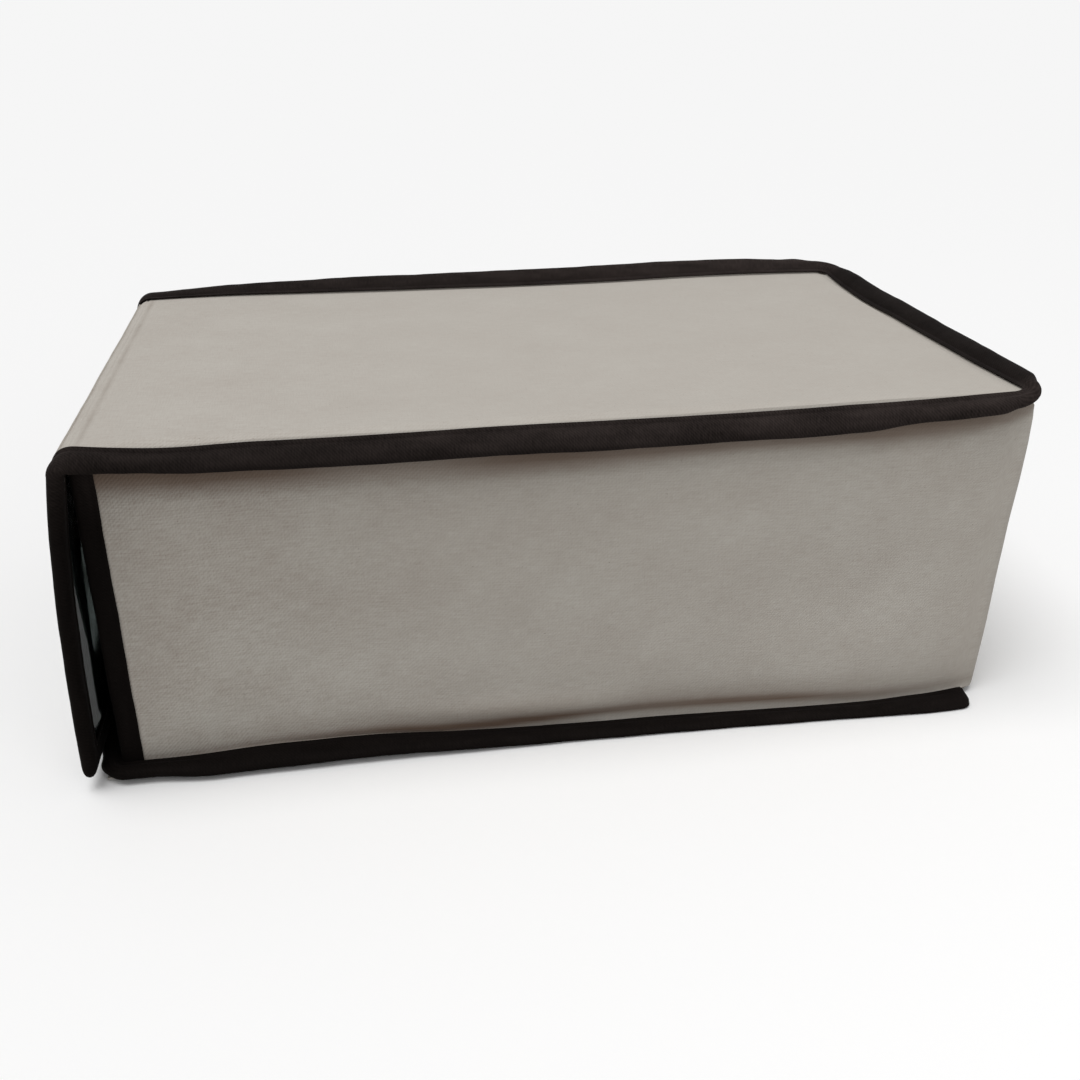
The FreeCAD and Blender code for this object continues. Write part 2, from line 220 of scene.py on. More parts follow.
def cloth_grid(name, points, flat, shade=None):
    """Grid primitive laid on rows and columns of points, with the flat cloth's place as its UV map.

    points is rows x columns x 3 and flat is rows x columns x 2, both in millimetres. Going along a
    row and then up the rows turns anticlockwise when the face is seen from outside. shade, where it is
    given, is painted shade: 0 where none is painted and 1 where the painted shade is darkest.
    """
    rows, columns = points.shape[:2]
    deselect_all()
    bpy.ops.mesh.primitive_grid_add(
        x_subdivisions=columns - 1, y_subdivisions=rows - 1, size=1, calc_uvs=True)
    piece = bpy.context.object
    piece.name = name
    mesh = piece.data
    mesh.name = name
    spots = np.zeros(len(mesh.vertices) * 3, np.float32)
    mesh.vertices.foreach_get("co", spots)
    spots = spots.reshape(-1, 3)
    column = np.rint((spots[:, 0] + 0.5) * (columns - 1)).astype(int)
    row = np.rint((spots[:, 1] + 0.5) * (rows - 1)).astype(int)
    placed = points[row, column] + np.array([FOLD_LINE, 0, 0])
    mesh.vertices.foreach_set("co", (placed / MM).astype(np.float32).ravel())
    corners = np.zeros(len(mesh.loops), np.int32)
    mesh.loops.foreach_get("vertex_index", corners)
    mapped = (flat[row, column] / MM)[corners]
    mesh.uv_layers[0].data.foreach_set("uv", mapped.astype(np.float32).ravel())
    if shade is not None:
        painted_shade_layer = mesh.attributes.new("shade", "FLOAT", "POINT")
        painted_shade_layer.data.foreach_set("value", shade[row, column].astype(np.float32))
    mesh.update()
    return piece


def select_only(piece):
    """Makes one piece the selected and active one."""
    deselect_all()
    piece.select_set(True)
    bpy.context.view_layer.objects.active = piece


def clean(piece, weld=0.0):
    """Merges what meets, closes up the normals and gives smooth shading."""
    select_only(piece)
    bpy.ops.object.mode_set(mode="EDIT")
    bpy.ops.mesh.select_all(action="SELECT")
    if weld:
        bpy.ops.mesh.remove_doubles(threshold=weld / MM)
        bpy.ops.mesh.delete_loose(use_verts=True, use_edges=True, use_faces=False)
        bpy.ops.mesh.select_all(action="SELECT")
    bpy.ops.mesh.normals_make_consistent(inside=False)
    bpy.ops.object.mode_set(mode="OBJECT")
    bpy.ops.object.shade_smooth_by_angle(angle=math.radians(50))


def thicken(piece, thickness):
    """Gives a cloth grid its thickness, inward from the face that shows."""
    select_only(piece)
    bpy.ops.object.modifier_add(type="SOLIDIFY")
    solid = piece.modifiers[-1]
    solid.thickness = thickness / MM
    solid.offset = -1
    solid.use_even_offset = False
    bpy.ops.object.modifier_apply(modifier=solid.name)


def dress(piece, material):
    """Gives a piece its only material."""
    piece.data.materials.clear()
    piece.data.materials.append(material)


def make_cloth(name, points, flat, thickness, maker, shade=None, turned=False):
    """Cloth with thickness and material; turned walks each row backwards to face the other way."""
    if turned:
        points = points[:, ::-1]
        flat = flat[:, ::-1]
    piece = cloth_grid(name, points, flat, shade)
    thicken(piece, thickness)
    clean(piece)
    dress(piece, material_of(maker))
    return piece


def along_rows(points):
    """Distance along each row of points, in millimetres."""
    steps = np.linalg.norm(np.diff(points, axis=1), axis=2)
    return np.concatenate([np.zeros((points.shape[0], 1)), np.cumsum(steps, axis=1)], axis=1)


def up_columns(points):
    """Distance up each column of points, in millimetres."""
    return along_rows(points.transpose(1, 0, 2)).T


def strip_flat(run, points):
    """The flat cloth of a long strip: the run along it and the distance across it."""
    return np.stack([np.broadcast_to(run[:, None], points.shape[:2]), along_rows(points)], axis=2)


# The seams' courses, read off the photograph where it shows them

class Course:
    """A seam seen from above: where its root runs, the way out, the lean and the width of the tape."""

    def __init__(self, root, outward, lean, width, run):
        self.root = root
        self.outward = outward
        self.lean = np.radians(lean)
        self.width = width
        self.run = run

    def place(self, out, up):
        """Points of a leaning section: out and up are stations x section points."""
        cosine = np.cos(self.lean)[:, None]
        sine = np.sin(self.lean)[:, None]
        flat = out * cosine - up * sine
        rise = out * sine + up * cosine
        points = self.root[:, None, :] + self.outward[:, None, :] * flat[:, :, None]
        points[:, :, 2] += rise
        return points


def case_walk(step, corner_steps, radius=CORNER, start=0.0):
    """Plan of the case from the near front corner round the back to the far front corner.

    Gives the plan points, the way out at each and a side number: 0 near, 1 back, 2 far.
    """
    straight = LENGTH - radius
    back = HALF_WIDTH - radius
    count = round(LENGTH / step)
    across = round(2 * HALF_WIDTH / step)

    def corner(first, middle):
        angles = np.radians(np.linspace(first, first + 90, corner_steps + 1))[1:]
        x = straight + radius * np.sin(angles)
        y = middle - radius * np.cos(angles)
        return x, y, angles, np.degrees(angles) / 90

    xs = np.linspace(start, straight, count + 1)
    ys = np.linspace(-back, back, across + 1)[1:]
    home = xs[::-1][1:]
    parts = [(xs, np.full_like(xs, -HALF_WIDTH), np.zeros_like(xs), np.zeros_like(xs)),
             corner(0, -back),
             (np.full_like(ys, LENGTH), ys, np.full_like(ys, math.pi / 2), np.ones_like(ys)),
             corner(90, back),
             (home, np.full_like(home, HALF_WIDTH), np.full_like(home, math.pi), np.full_like(home, 2.0))]
    x, y, angle, side = (np.concatenate(column) for column in zip(*parts))
    plan = np.stack([x, y], axis=1)
    outward = np.stack([np.sin(angle), -np.cos(angle), np.zeros_like(angle)], axis=1)
    return plan, outward, side


def walk_length(plan):
    """Distance walked along a line of points, at each point."""
    steps = np.linalg.norm(np.diff(plan, axis=0), axis=1)
    return np.concatenate([[0], np.cumsum(steps)])


def by_side(side, near, back, far):
    """Mixes three values by the side number, smoothly round the corners."""
    to_back = ease(side, 0, 1)
    to_far = ease(side, 1, 2)
    return near * (1 - to_back) + back * to_back * (1 - to_far) + far * to_far


def top_seam_offsets(plan, side):
    """How far the top seam is drawn down, and in, between its corners."""
    x, y = plan[:, 0], plan[:, 1]
    near = through([2, 12, 60, 140, 250, 300, 330], [0, -0.7, -1.0, -1.2, -0.7, -0.2, -0.2], x)
    far = through([2, 25, 70, 140, 215, 265, 330], [0, 0.3, 0, -0.5, -0.5, 0.4, -0.2], x)
    back = through([-95, -75, -36, 10, 64, 95], [-0.2, -0.8, -1.6, -2.0, -2.3, -0.6], y)
    drop = by_side(side, near, back, far)
    back_in = through([-95, -75, -36, 10, 64, 95], [2.3, 2.4, 2.2, 2.0, 1.6, 0.8], y)
    drawn_in = by_side(side, 0 * x, back_in, 0 * x)
    return drop, drawn_in


def top_course(step=1.0, corner_steps=14):
    """Course of the top seam, from the near front corner round the back to the far front corner."""
    plan, outward, side = case_walk(step, corner_steps, TOP_CORNER, ROLL_START)
    x, y = plan[:, 0], plan[:, 1]
    run = walk_length(plan)
    drop, drawn_in = top_seam_offsets(plan, side)
    near = through([2, 4, 8, 14, 45, 105, 140, 175, 215, 262, 299, 318, 330],
                   [FRONT_LEAN, FRONT_LEAN - 1, -30, -37, -49, -50, -43, -49, -58, -59, -50, -34, -22], x)
    far = through([0, 12, 24, 70, 117, 165, 214, 264, 316, 330], [2, 6, 10, 24, 32, 36, 40, 38, 28, 24], x)
    back = through([-95, -75, -36, 10, 64, 95], [14, 20, 22, 24, 29, 26], y)
    lean = by_side(side, near, back, far) + 1.2 * ripple(run, 61, 0.4)
    turns = [float(np.interp(place, side, run)) for place in (0.5, 1.5)]
    near = through([2, 8, 17, 29, 41, 54, 92, 130, 160, 200, 230, 262, 275, 286, 300, 330],
                   [1, 0.9, 0.8, 0.8, 0.87, 0.9, 0.93, 0.97, 0.98, 0.96, 0.95, 0.96, 0.92, 0.82, 0.8, 0.8],
                   x)
    back = through([-95, -75, -50, -25, 0, 60, 80, 95], [0.92, 0.95, 0.98, 1, 1, 1, 0.94, 0.84], y)
    width = SEAM_WIDTH * by_side(side, near, back, 1 + 0 * x) + 0.15 * ripple(run, 83, 1.3)
    width = width * (1 - 0.27 * hump(run, turns[0], 10) - 0.12 * hump(run, turns[1], 14))
    width = width + 0.5 * hump(np.where(side == 2, x, 0), 316, 9)
    ahead = ease(x, 150, LENGTH - TOP_CORNER) * drawn_in.max()
    pulled = by_side(side, ahead, drawn_in, ease(x, 150, LENGTH - TOP_CORNER) * drawn_in[side == 1][-1])
    root = np.stack([x - pulled, y, np.full_like(x, TOP_SEAM) + drop], axis=1)
    return Course(root, outward, lean, width, run)


def side_numbers():
    """Side number at each station of the fine top course."""
    return case_walk(1.0, 16, TOP_CORNER, ROLL_START)[2]


def bottom_seam(x, side):
    """Height above the ground line, draw-in and lean of the bottom seam at places along one long side."""
    if side < 0:
        places = [0, 9, 25, 45, 69, 84, 99, 113, 128, 143, 159, 195, 256, 298, 319, 324]
        lift = through(
            places, [2.2, 2.2, 2.5, 3.9, 4.2, 4.1, 3.3, 2.1, 1.2, 0.5, 0, -0.4, -0.6, -0.5, 0.7, 1.3], x)
        lean = through(places, [3, 4, -3, -14, -15, -14, -9, -4, 0, 1, 2, 2, 2, 0, -9, -13], x)
        drawn_in = through([0, 20, 60, 130, 180, 215, 240, 275, 300, 324],
                           [0, 0, 0.3, 0.3, 0, -0.9, -2.2, -3.2, -2.8, -1.8], x)
        return lift, drawn_in, lean
    return 0.5 + 0.3 * ripple(x, 140, 0.6), 0.2 + 0 * x, 0.5 + 0 * x


# Sections

def tape_section(width, roll, root=0.8, pressed=1.15, stitch_line=2.5):
    """Outer face of a folded tape, from its upper inner edge round the roll to the lower one.

    Gives out and up as stations x points. The legs are drawn tight along the stitches and swell
    into a soft roll at the outer edge.
    """
    width = np.atleast_1d(width)[:, None]
    roll = np.broadcast_to(np.atleast_1d(roll)[:, None], width.shape)
    pressed = np.broadcast_to(np.atleast_1d(pressed)[:, None], width.shape)
    one = np.ones_like(width)
    half = [
        (root * one, pressed * one),
        (0.5 * (root + stitch_line) * one, pressed * one + 0.12),
        (stitch_line * one, (pressed - 0.3) * one),
        ((stitch_line + 0.9) * one, pressed * one + 0.2 * (roll - pressed)),
        (stitch_line + 0.32 * (width - stitch_line), 0.95 * roll),
        (stitch_line + 0.56 * (width - stitch_line), 1.0 * roll),
        (stitch_line + 0.78 * (width - stitch_line), 0.86 * roll),
        (width - 0.35, 0.5 * roll),
        (width, 0.0 * roll),
    ]
    out = np.concatenate([pair[0] for pair in half], axis=1)
    up = np.concatenate([pair[1] for pair in half], axis=1)
    out = np.concatenate([out, out[:, -2::-1]], axis=1)
    up = np.concatenate([up, -up[:, -2::-1]], axis=1)
    return smooth_rows(out), smooth_rows(up)


def smooth_rows(values):
    """Rounds each row by cutting its corners, keeping both ends."""
    quarter = 0.75 * values[:, :-1] + 0.25 * values[:, 1:]
    three = 0.25 * values[:, :-1] + 0.75 * values[:, 1:]
    inside = np.stack([quarter, three], axis=2).reshape(values.shape[0], -1)
    return np.concatenate([values[:, :1], inside[:, 1:-1], values[:, -1:]], axis=1)


# Materials: every colour is an sRGB hex value, every scale a real size in millimetres

def linear(code):
    """Linear colour of an sRGB hex value."""
    parts = [int(code.lstrip("#")[place:place + 2], 16) / 255 for place in (0, 2, 4)]
    return [part / 12.92 if part <= 0.04045 else ((part + 0.055) / 1.055) ** 2.4 for part in parts] + [1.0]


def add_node(tree, kind, sockets=None, **facts):
    """Adds a node with its settings, socket values and links."""
    node = tree.nodes.new(kind)
    for name, value in facts.items():
        setattr(node, name, value)
    for name, value in (sockets or {}).items():
        if isinstance(value, bpy.types.NodeSocket):
            tree.links.new(value, node.inputs[name])
        else:
            node.inputs[name].default_value = value
    return node


def new_material(name, coordinates):
    """New node material, with the place of each point as UV (on the flat cloth) or Object (on the box)."""
    material = bpy.data.materials.new(name)
    material.use_nodes = True
    tree = material.node_tree
    place = add_node(tree, "ShaderNodeTexCoord").outputs[coordinates]
    return material, tree, place


def finish_surface(tree, sockets, colour=None, relief=None):
    """Sets the shader's constants and joins its colour and its relief: height, strength, depth in mm."""
    shader = tree.nodes["Principled BSDF"]
    for name, value in sockets.items():
        shader.inputs[name].default_value = value
    if colour is not None:
        tree.links.new(colour, shader.inputs["Base Color"])
    if relief is not None:
        height, strength, depth = relief
        bump = add_node(tree, "ShaderNodeBump", {
            "Height": height, "Strength": strength, "Distance": depth / MM})
        tree.links.new(bump.outputs["Normal"], shader.inputs["Normal"])


def work_out(tree, operation, *values):
    """Result of one math step on sockets and numbers."""
    return add_node(tree, "ShaderNodeMath", dict(enumerate(values)), operation=operation).outputs[0]


def ranged(tree, value, low, high, at_low, at_high):
    """Goes from at_low to at_high while the value goes from low to high."""
    return add_node(tree, "ShaderNodeMapRange", {
        "Value": value, "From Min": low, "From Max": high, "To Min": at_low, "To Max": at_high}).outputs[0]


def mixed(tree, share, first, second):
    """Colour between two, each a hex value or a socket."""
    first, second = (linear(colour) if isinstance(colour, str) else colour for colour in (first, second))
    return add_node(tree, "ShaderNodeMix", {"Factor": share, 6: first, 7: second},
                    data_type="RGBA", clamp_factor=True).outputs[2]


def box_places(tree):
    """Places of a point on the box along X, Y and Z, in metres."""
    place = add_node(tree, "ShaderNodeTexCoord").outputs["Object"]
    return add_node(tree, "ShaderNodeSeparateXYZ", {"Vector": place}).outputs


def stretched_noise(tree, place, along, across, detail=2.0):
    """Noise drawn out along the threads: sizes of one patch in millimetres."""
    mapped = add_node(tree, "ShaderNodeMapping", {"Vector": place, "Scale": (MM / along, MM / across, 1)})
    noise = add_node(tree, "ShaderNodeTexNoise", {
        "Vector": mapped.outputs["Vector"], "Scale": 1.0, "Detail": detail, "Roughness": 0.55},
        noise_dimensions="2D")
    return noise.outputs["Fac"]


def even_noise(tree, place, size, detail, roughness=0.5):
    """Noise with patches of one size in millimetres."""
    return add_node(tree, "ShaderNodeTexNoise", {
        "Vector": place, "Scale": MM / size, "Detail": detail, "Roughness": roughness}).outputs["Fac"]


def twill_lines(tree, place, pitch, wander):
    """Diagonal ribs of a twill weave, rising to the right, with the pitch in millimetres."""
    turned = add_node(tree, "ShaderNodeMapping", {"Vector": place, "Rotation": (0, 0, math.radians(45))})
    waves_per_metre = math.tau / 20 / (pitch / MM)
    wave = add_node(tree, "ShaderNodeTexWave", {
        "Vector": turned.outputs["Vector"], "Scale": waves_per_metre, "Distortion": wander,
        "Detail": 2.0, "Detail Scale": 0.35, "Detail Roughness": 0.6},
        wave_type="BANDS", bands_direction="X", wave_profile="SIN")
    return wave.outputs["Fac"]


def weighted_sum(tree, parts, start):
    """Adds (socket, weight) pairs to a start value, each about its own middle of one half."""
    total = start
    for socket, weight in parts:
        total = work_out(tree, "ADD", total, work_out(tree, "MULTIPLY_ADD", socket, weight, -0.5 * weight))
    return total


def woven_canvas():
    """Linen and cotton twill canvas, undyed warp and pale weft.

    The fine diagonal rib, the thicker threads along both directions and a few dark husks give the
    matte, slightly uneven grey of unbleached cloth. The weave shows most near the front and least
    on the top. The shade attribute paints shade into it: under the top tape, in the crease above the
    bottom tape and along the crease behind the fold line.
    """
    values = settings("canvas")
    material, tree, place = new_material("linen_cotton_twill_canvas", "UV")
    ribs = twill_lines(tree, place, values.twill, 3.4)
    weft = stretched_noise(tree, place, 7.0, 0.5)
    warp = stretched_noise(tree, place, 0.5, 5.0)
    patches = stretched_noise(tree, place, 34.0, 26.0, detail=3.0)
    # The weave's colour shows weaker on the top and stronger near the front; on the top this is painted
    # light, standing in for the flat bright light there.
    spot = box_places(tree)
    in_front = ranged(tree, spot["X"], (FOLD_LINE + 40) / MM, (FOLD_LINE + 130) / MM, 1.8, 1.0)
    on_top = ranged(tree, spot["Z"], 0.1235, 0.1262, 1.0, 0.5)
    strength = work_out(tree, "MULTIPLY", in_front, on_top)
    weave = weighted_sum(tree, [(ribs, 0.14), (weft, 0.65), (warp, 0.42), (patches, 0.4)], 0.0)
    level = work_out(tree, "MULTIPLY_ADD", weave, strength, 0.62)
    threads = mixed(tree, level, values.dark, values.light)
    husks = ranged(tree, stretched_noise(tree, place, 1.3, 0.8, detail=1.0), 0.80, 0.86, 0.0, 0.5)
    flecked = mixed(tree, husks, threads, "#6B5A4C")
    # Painted shade: the shade attribute mixes the canvas towards a dark brown where shade falls.
    shade = add_node(tree, "ShaderNodeAttribute", attribute_name="shade").outputs["Fac"]
    painted_shade_colour = mixed(tree, work_out(tree, "MULTIPLY", shade, 0.8), flecked, "#6A584B")
    relief = weighted_sum(tree, [(ribs, 0.5), (weft, 0.6), (warp, 0.5)], 0.0)
    finish_surface(tree, {
        "Roughness": 0.92, "Specular IOR Level": 0.1, "Sheen Weight": 0.08, "Sheen Roughness": 0.5},
        painted_shade_colour, (work_out(tree, "MULTIPLY", relief, strength), 0.4, 0.2))
    return material


def twill_tape():
    """Dark brown polyester twill tape, folded over the seams.

    A tight diagonal rib with little sheen. The tape is lighter on the upper seams and nearly black lower
    down. It is painted lighter along the long sides than across the back, and lighter further from the
    front: painted light, where more light falls on it.
    """
    values = settings("tape")
    material, tree, place = new_material("polyester_twill_binding_tape", "UV")
    ribs = twill_lines(tree, place, values.twill, 2.2)
    threads = stretched_noise(tree, place, 0.5, 3.0)
    wear = stretched_noise(tree, place, 22.0, 5.0)
    level = weighted_sum(tree, [(ribs, 0.2), (threads, 0.6), (wear, 0.6)], 0.5)
    # Painted light: the aside and behind shares lighten the tape where more light falls on it; high only
    # makes it lighter higher up.
    spot = box_places(tree)
    high = ranged(tree, spot["Z"], 0.098, 0.124, 0.25, 1.0)
    aside = ranged(tree, work_out(tree, "ABSOLUTE", spot["Y"]), 0.086, 0.098, 0.32, 1.0)
    behind = ranged(tree, spot["X"], (FOLD_LINE + 60) / MM, (FOLD_LINE + 260) / MM, 0.75, 1.3)
    height_and_painted_light = work_out(tree, "MULTIPLY", work_out(tree, "MULTIPLY", high, aside), behind)
    colour = mixed(tree, work_out(tree, "MULTIPLY", level, height_and_painted_light), values.dark, values.light)
    relief = weighted_sum(tree, [(ribs, 0.5), (threads, 0.5)], 0.5)
    finish_surface(tree, {
        "Roughness": 0.65, "Specular IOR Level": 0.01, "Sheen Weight": 0.01, "Sheen Roughness": 0.4},
        colour, (relief, 0.4, 0.14))
    return material


def spun_lining():
    """Black spun-bonded lining: short pressed fibres, dull and slightly cloudy."""
    material, tree, place = new_material("spun_bonded_lining", "UV")
    fibres = stretched_noise(tree, place, 0.7, 0.7, detail=4.0)
    clouds = stretched_noise(tree, place, 18.0, 14.0)
    level = weighted_sum(tree, [(fibres, 1.2), (clouds, 0.6)], 0.5)
    finish_surface(tree, {"Roughness": 0.85, "Specular IOR Level": 0.3},
                   mixed(tree, level, "#121110", "#262423"), (fibres, 0.5, 0.2))
    return material


def grey_board():
    """Grey board pressed from waste paper: short fibres and soft clouds, quite matte."""
    material, tree, place = new_material("grey_board", "Object")
    fibres = even_noise(tree, place, 0.9, 5.0, 0.7)
    level = weighted_sum(tree, [(fibres, 1.0), (even_noise(tree, place, 16, 2.0), 0.8)], 0.5)
    finish_surface(tree, {"Roughness": 0.9}, mixed(tree, level, "#8B857B", "#A39C90"), (fibres, 0.3, 0.1))
    return material


def black_board():
    """Grey board faced with black paper: smooth, dull, a few grey scuffs."""
    material, tree, place = new_material("black_faced_board", "Object")
    fibres = even_noise(tree, place, 1.2, 4.0, 0.65)
    level = weighted_sum(tree, [(fibres, 0.8), (even_noise(tree, place, 20, 2.0), 0.8)], 0.5)
    finish_surface(tree, {"Roughness": 0.8, "Specular IOR Level": 0.3},
                   mixed(tree, level, "#141312", "#232120"), (fibres, 0.2, 0.1))
    return material


def clear_vinyl():
    """Clear soft vinyl sheet, a little smoky: glossy, with slow ripples and a little dust."""
    material, tree, place = new_material("clear_soft_vinyl", "UV")
    ripples = stretched_noise(tree, place, 30.0, 18.0)
    scuffs = stretched_noise(tree, place, 6.0, 0.8, detail=3.0)
    finish_surface(tree, {"Base Color": linear("#5F6866"), "IOR": 1.53, "Transmission Weight": 0.88},
                   relief=(ripples, 0.35, 0.6))
    roughness = ranged(tree, scuffs, 0.3, 0.8, 0.06, 0.2)
    tree.links.new(roughness, tree.nodes["Principled BSDF"].inputs["Roughness"])
    return material


def sewing_thread():
    """Dark spun polyester thread: two plies with a little more shine than the tape."""
    material, tree, place = new_material("spun_polyester_thread", "Object")
    plies = even_noise(tree, place, 0.35, 2.0)
    finish_surface(tree, {"Roughness": 0.5}, mixed(tree, plies, "#191615", "#3A3432"))
    return material


def material_of(maker):
    """Makes a material once and hands the same one out again."""
    if maker.__name__ not in made_materials:
        made_materials[maker.__name__] = maker()
    return made_materials[maker.__name__]


made_materials = {}


# Roll over the front and flap: angles run from 0 at the top of the roll

def roll_point(angle, radius, y):
    """Point on the roll, its angle counted from straight up towards the front."""
    x = ROLL_START - (radius + ROLL_START - ROLL_SLACK) * np.sin(angle)
    z = ROLL_HEIGHT - ROLL_SINK + (radius + ROLL_SINK) * np.cos(angle)
    return np.stack([x, y, z], axis=-1)


def flap_point(face, down, y):
    """Point of the flap: how far its face is from the roll's middle and how far down it lies."""
    bowed = face + settings("flap").bow * through(*FLAP_BOW, down)
    x = ROLL_START - (bowed + ROLL_START - ROLL_SLACK) * math.cos(HANG) - down * math.sin(HANG)
    z = ROLL_HEIGHT - ROLL_SINK + (bowed + ROLL_SINK) * math.sin(HANG) - down * math.cos(HANG)
    return np.stack([x, y + 0 * x, z], axis=-1)


ROLL_END = math.pi / 2 - HANG
ROLL_MIDDLE = ROLL_END / 2
ROLL_LENGTH = ROLL_END * (CANVAS_ROLL + 0.5)
FLAP_BOW = ([0, 6, 15, 35, 60, 90, 118], [0, 0.26, 0.58, 0.95, 1, 0.63, 0])
PANEL_MIDDLE = 1.5    # the flap panel's middle lies this far behind its canvas face
FRONT_LEAN = -24.0    # lean of the near tape where it starts to roll


def roll_wave(angle, y):
    """Slow ripple across the roll, the same in its canvas and its lining."""
    return 0.12 * ripple(y, 88, 1.4) * np.sin(angle / ROLL_END * math.pi)


def roll_canvas_points(angle, y, groove=0.0):
    """Canvas on the roll, turned out into the seam beyond each side edge."""
    over = np.maximum(np.abs(y) - HALF_WIDTH, 0)
    lean = np.radians(np.where(y < 0, FRONT_LEAN, 2.0)) * (1 - ease(angle / ROLL_END, 0, 1))
    return roll_point(angle, CANVAS_ROLL + over * np.sin(lean) - groove + roll_wave(angle, y),
                      np.sign(y) * (np.minimum(np.abs(y), HALF_WIDTH) + over * np.cos(lean)))


def roll_tape(side, angles, lean_top, width_top, roll):
    """Stations of a tape round the side edge of the roll, levelling out towards the flap."""
    share = angles / ROLL_END
    lean = np.radians(lean_top) * (1 - ease(share, 0, 1))
    width = width_top + (SEAM_WIDTH - width_top) * ease(share, 0, 1)
    fuller = roll * (1 + 0.1 * ease(share, 0, 1))
    out, up = tape_section(width, fuller, pressed=1.15 + 0.35 * ease(share, 0, 0.6))
    flat_out = out * np.cos(lean)[:, None] - up * np.sin(lean)[:, None]
    rise = out * np.sin(lean)[:, None] + up * np.cos(lean)[:, None]
    middle = CANVAS_ROLL - CLOTH - (PANEL_MIDDLE - CLOTH) * ease(share, 0, 1)[:, None]
    return roll_point(angles[:, None] + 0 * out, middle + rise, side * (HALF_WIDTH + flat_out))


def bend_at_crease(piece, upper):
    """Bakes a piece's place into its mesh, the same for the upper and the lower half."""
    if upper:
        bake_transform(piece)
    else:
        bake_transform(piece)


# Case canvas

def build_top_canvas():
    """Top panel with the upper half of the roll: rounded over its board into the turned-out seams."""
    flange = np.array([0.3, 0.8, 1.5, 2.6, 4.2])
    edge = np.array([14, 10, 7, 5, 3.6, 2.6, 1.8, 1.1, 0.5, 0])
    rolled = ROLL_START - np.linspace(ROLL_MIDDLE, 0, 15)[:-1] * ROLL_LENGTH / ROLL_END
    along = np.concatenate([rolled, np.linspace(ROLL_START, 10, 9)[:-1], np.linspace(10, LENGTH - 18, 80),
                            LENGTH - edge, LENGTH + flange])
    across = np.concatenate([-HALF_WIDTH - flange[::-1], -HALF_WIDTH + edge[::-1], np.linspace(-78, 78, 42),
                             HALF_WIDTH - edge, HALF_WIDTH + flange])
    s, t = np.meshgrid(along, across)
    x = np.clip(s, ROLL_START, LENGTH)
    y = np.clip(t, -HALF_WIDTH, HALF_WIDTH)
    reach = np.hypot(np.maximum(np.abs(t) - HALF_WIDTH, 0), np.maximum(s - LENGTH, 0))
    corner = (np.abs(t) > HALF_WIDTH) & (s > LENGTH)
    shrink = np.where(corner, np.minimum(1, 3.2 / np.maximum(reach, 0.1)), 1)
    course = top_course(1.0, 16)
    walk_side = side_numbers()
    long_side = {-1: walk_side == 0, 1: walk_side == 2}
    back = walk_side == 1
    back_order = np.argsort(course.root[back][:, 1])
    middle_z = TOP_FACE + 0.16 * ripple(s + 0.6 * t, 170, 0.9) * ripple(t - 0.3 * s, 120, 2.2)
    points = np.stack([x, y, middle_z], axis=2)
    for way, chosen in long_side.items():
        root = course.root[chosen]
        order = np.argsort(root[:, 0])
        level = np.interp(x, root[order, 0], root[order, 2]) + CLOTH
        lean = np.interp(x, root[order, 0], course.lean[chosen][order])
        near = way * t > 0
        over = np.maximum(way * t - HALF_WIDTH, 0) * shrink
        close = ease(HALF_WIDTH - way * t, 3.4, -0.4)
        height = level + over * np.sin(lean)
        points[:, :, 2] = np.where(near, points[:, :, 2] * (1 - close) + height * close, points[:, :, 2])
        aside = way * (HALF_WIDTH + over * np.cos(lean))
        points[:, :, 1] = np.where(near & (over > 0), aside, points[:, :, 1])
    root = course.root[back][back_order]
    level = np.interp(y, root[:, 1], root[:, 2]) + CLOTH
    lean = np.interp(y, root[:, 1], course.lean[back][back_order])
    pulled = LENGTH - np.interp(y, root[:, 1], root[:, 0])
    over = np.maximum(s - LENGTH, 0) * shrink
    close = ease(LENGTH - s, 5.0, 0.2)
    height = np.minimum(level, points[:, :, 2] + 9 * (over > 0)) + over * np.sin(lean)
    points[:, :, 2] = points[:, :, 2] * (1 - close) + height * close
    points[:, :, 0] = x + over * np.cos(lean) - pulled * ease(LENGTH - s, 16, 0)
    at_roll = s < ROLL_START
    angle = np.maximum(ROLL_START - s, 0) / ROLL_LENGTH * ROLL_END
    sweep = roll_canvas_points(angle, t, 0.3 * hump(np.degrees(angle), 9, 8))
    points = np.where(at_roll[:, :, None], sweep, points)
    points[:, :, 2] -= 0.3 * hump(s, ROLL_START + 0.6, 2.4) * ease(HALF_WIDTH - np.abs(t), 0, 3)
    # Painted shade: a faint dark line along the soft crease just behind the fold line.
    crease = 0.4 * hump(s, ROLL_START + 1, 1.8) * (0.7 + 0.3 * ripple(t, 40, 0.5))
    piece = make_cloth("top_canvas", points, np.stack([s, t], axis=2), CLOTH, woven_canvas, crease)
    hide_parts("top_cover")
    bend_at_crease(piece, True)
    return piece


# How far the back swells out, by height
BACK_SWELL = ([0, 8, 32, 58, 82, 98, 111, 117, 121, 124, 126],
              [0, 0.7, 2.0, 3.3, 4.5, 5.6, 6.2, 6.2, 5.4, 2.8, 0])

# By distance from the front of the near side: how dark the painted shade under the top tape is, how far
# down that reaches, and how dark the painted shade in the crease above the bottom tape is
SHADE_DEPTH = ([0, 23, 42, 69, 99, 113, 140, 176, 210, 245, 272, 300, 315, 330],
               [1, 1, 1, 0.9, 0.65, 0.7, 1, 1, 0.95, 0.9, 1, 1, 0.9, 0.7])
SHADE_REACH = ([0, 42, 69, 99, 140, 176, 210, 245, 262, 280, 300, 315, 330],
               [12, 9.5, 9.5, 10, 10.5, 8.5, 7, 6.5, 7, 9, 9, 6.5, 5])
CREASE_DEPTH = ([0, 40, 80, 110, 128, 150, 165, 185, 210, 235, 265, 300, 330],
                [0.3, 0.5, 0.8, 1.1, 1.2, 1.2, 1.0, 0.9, 0.95, 1.0, 0.85, 0.5, 0.3])


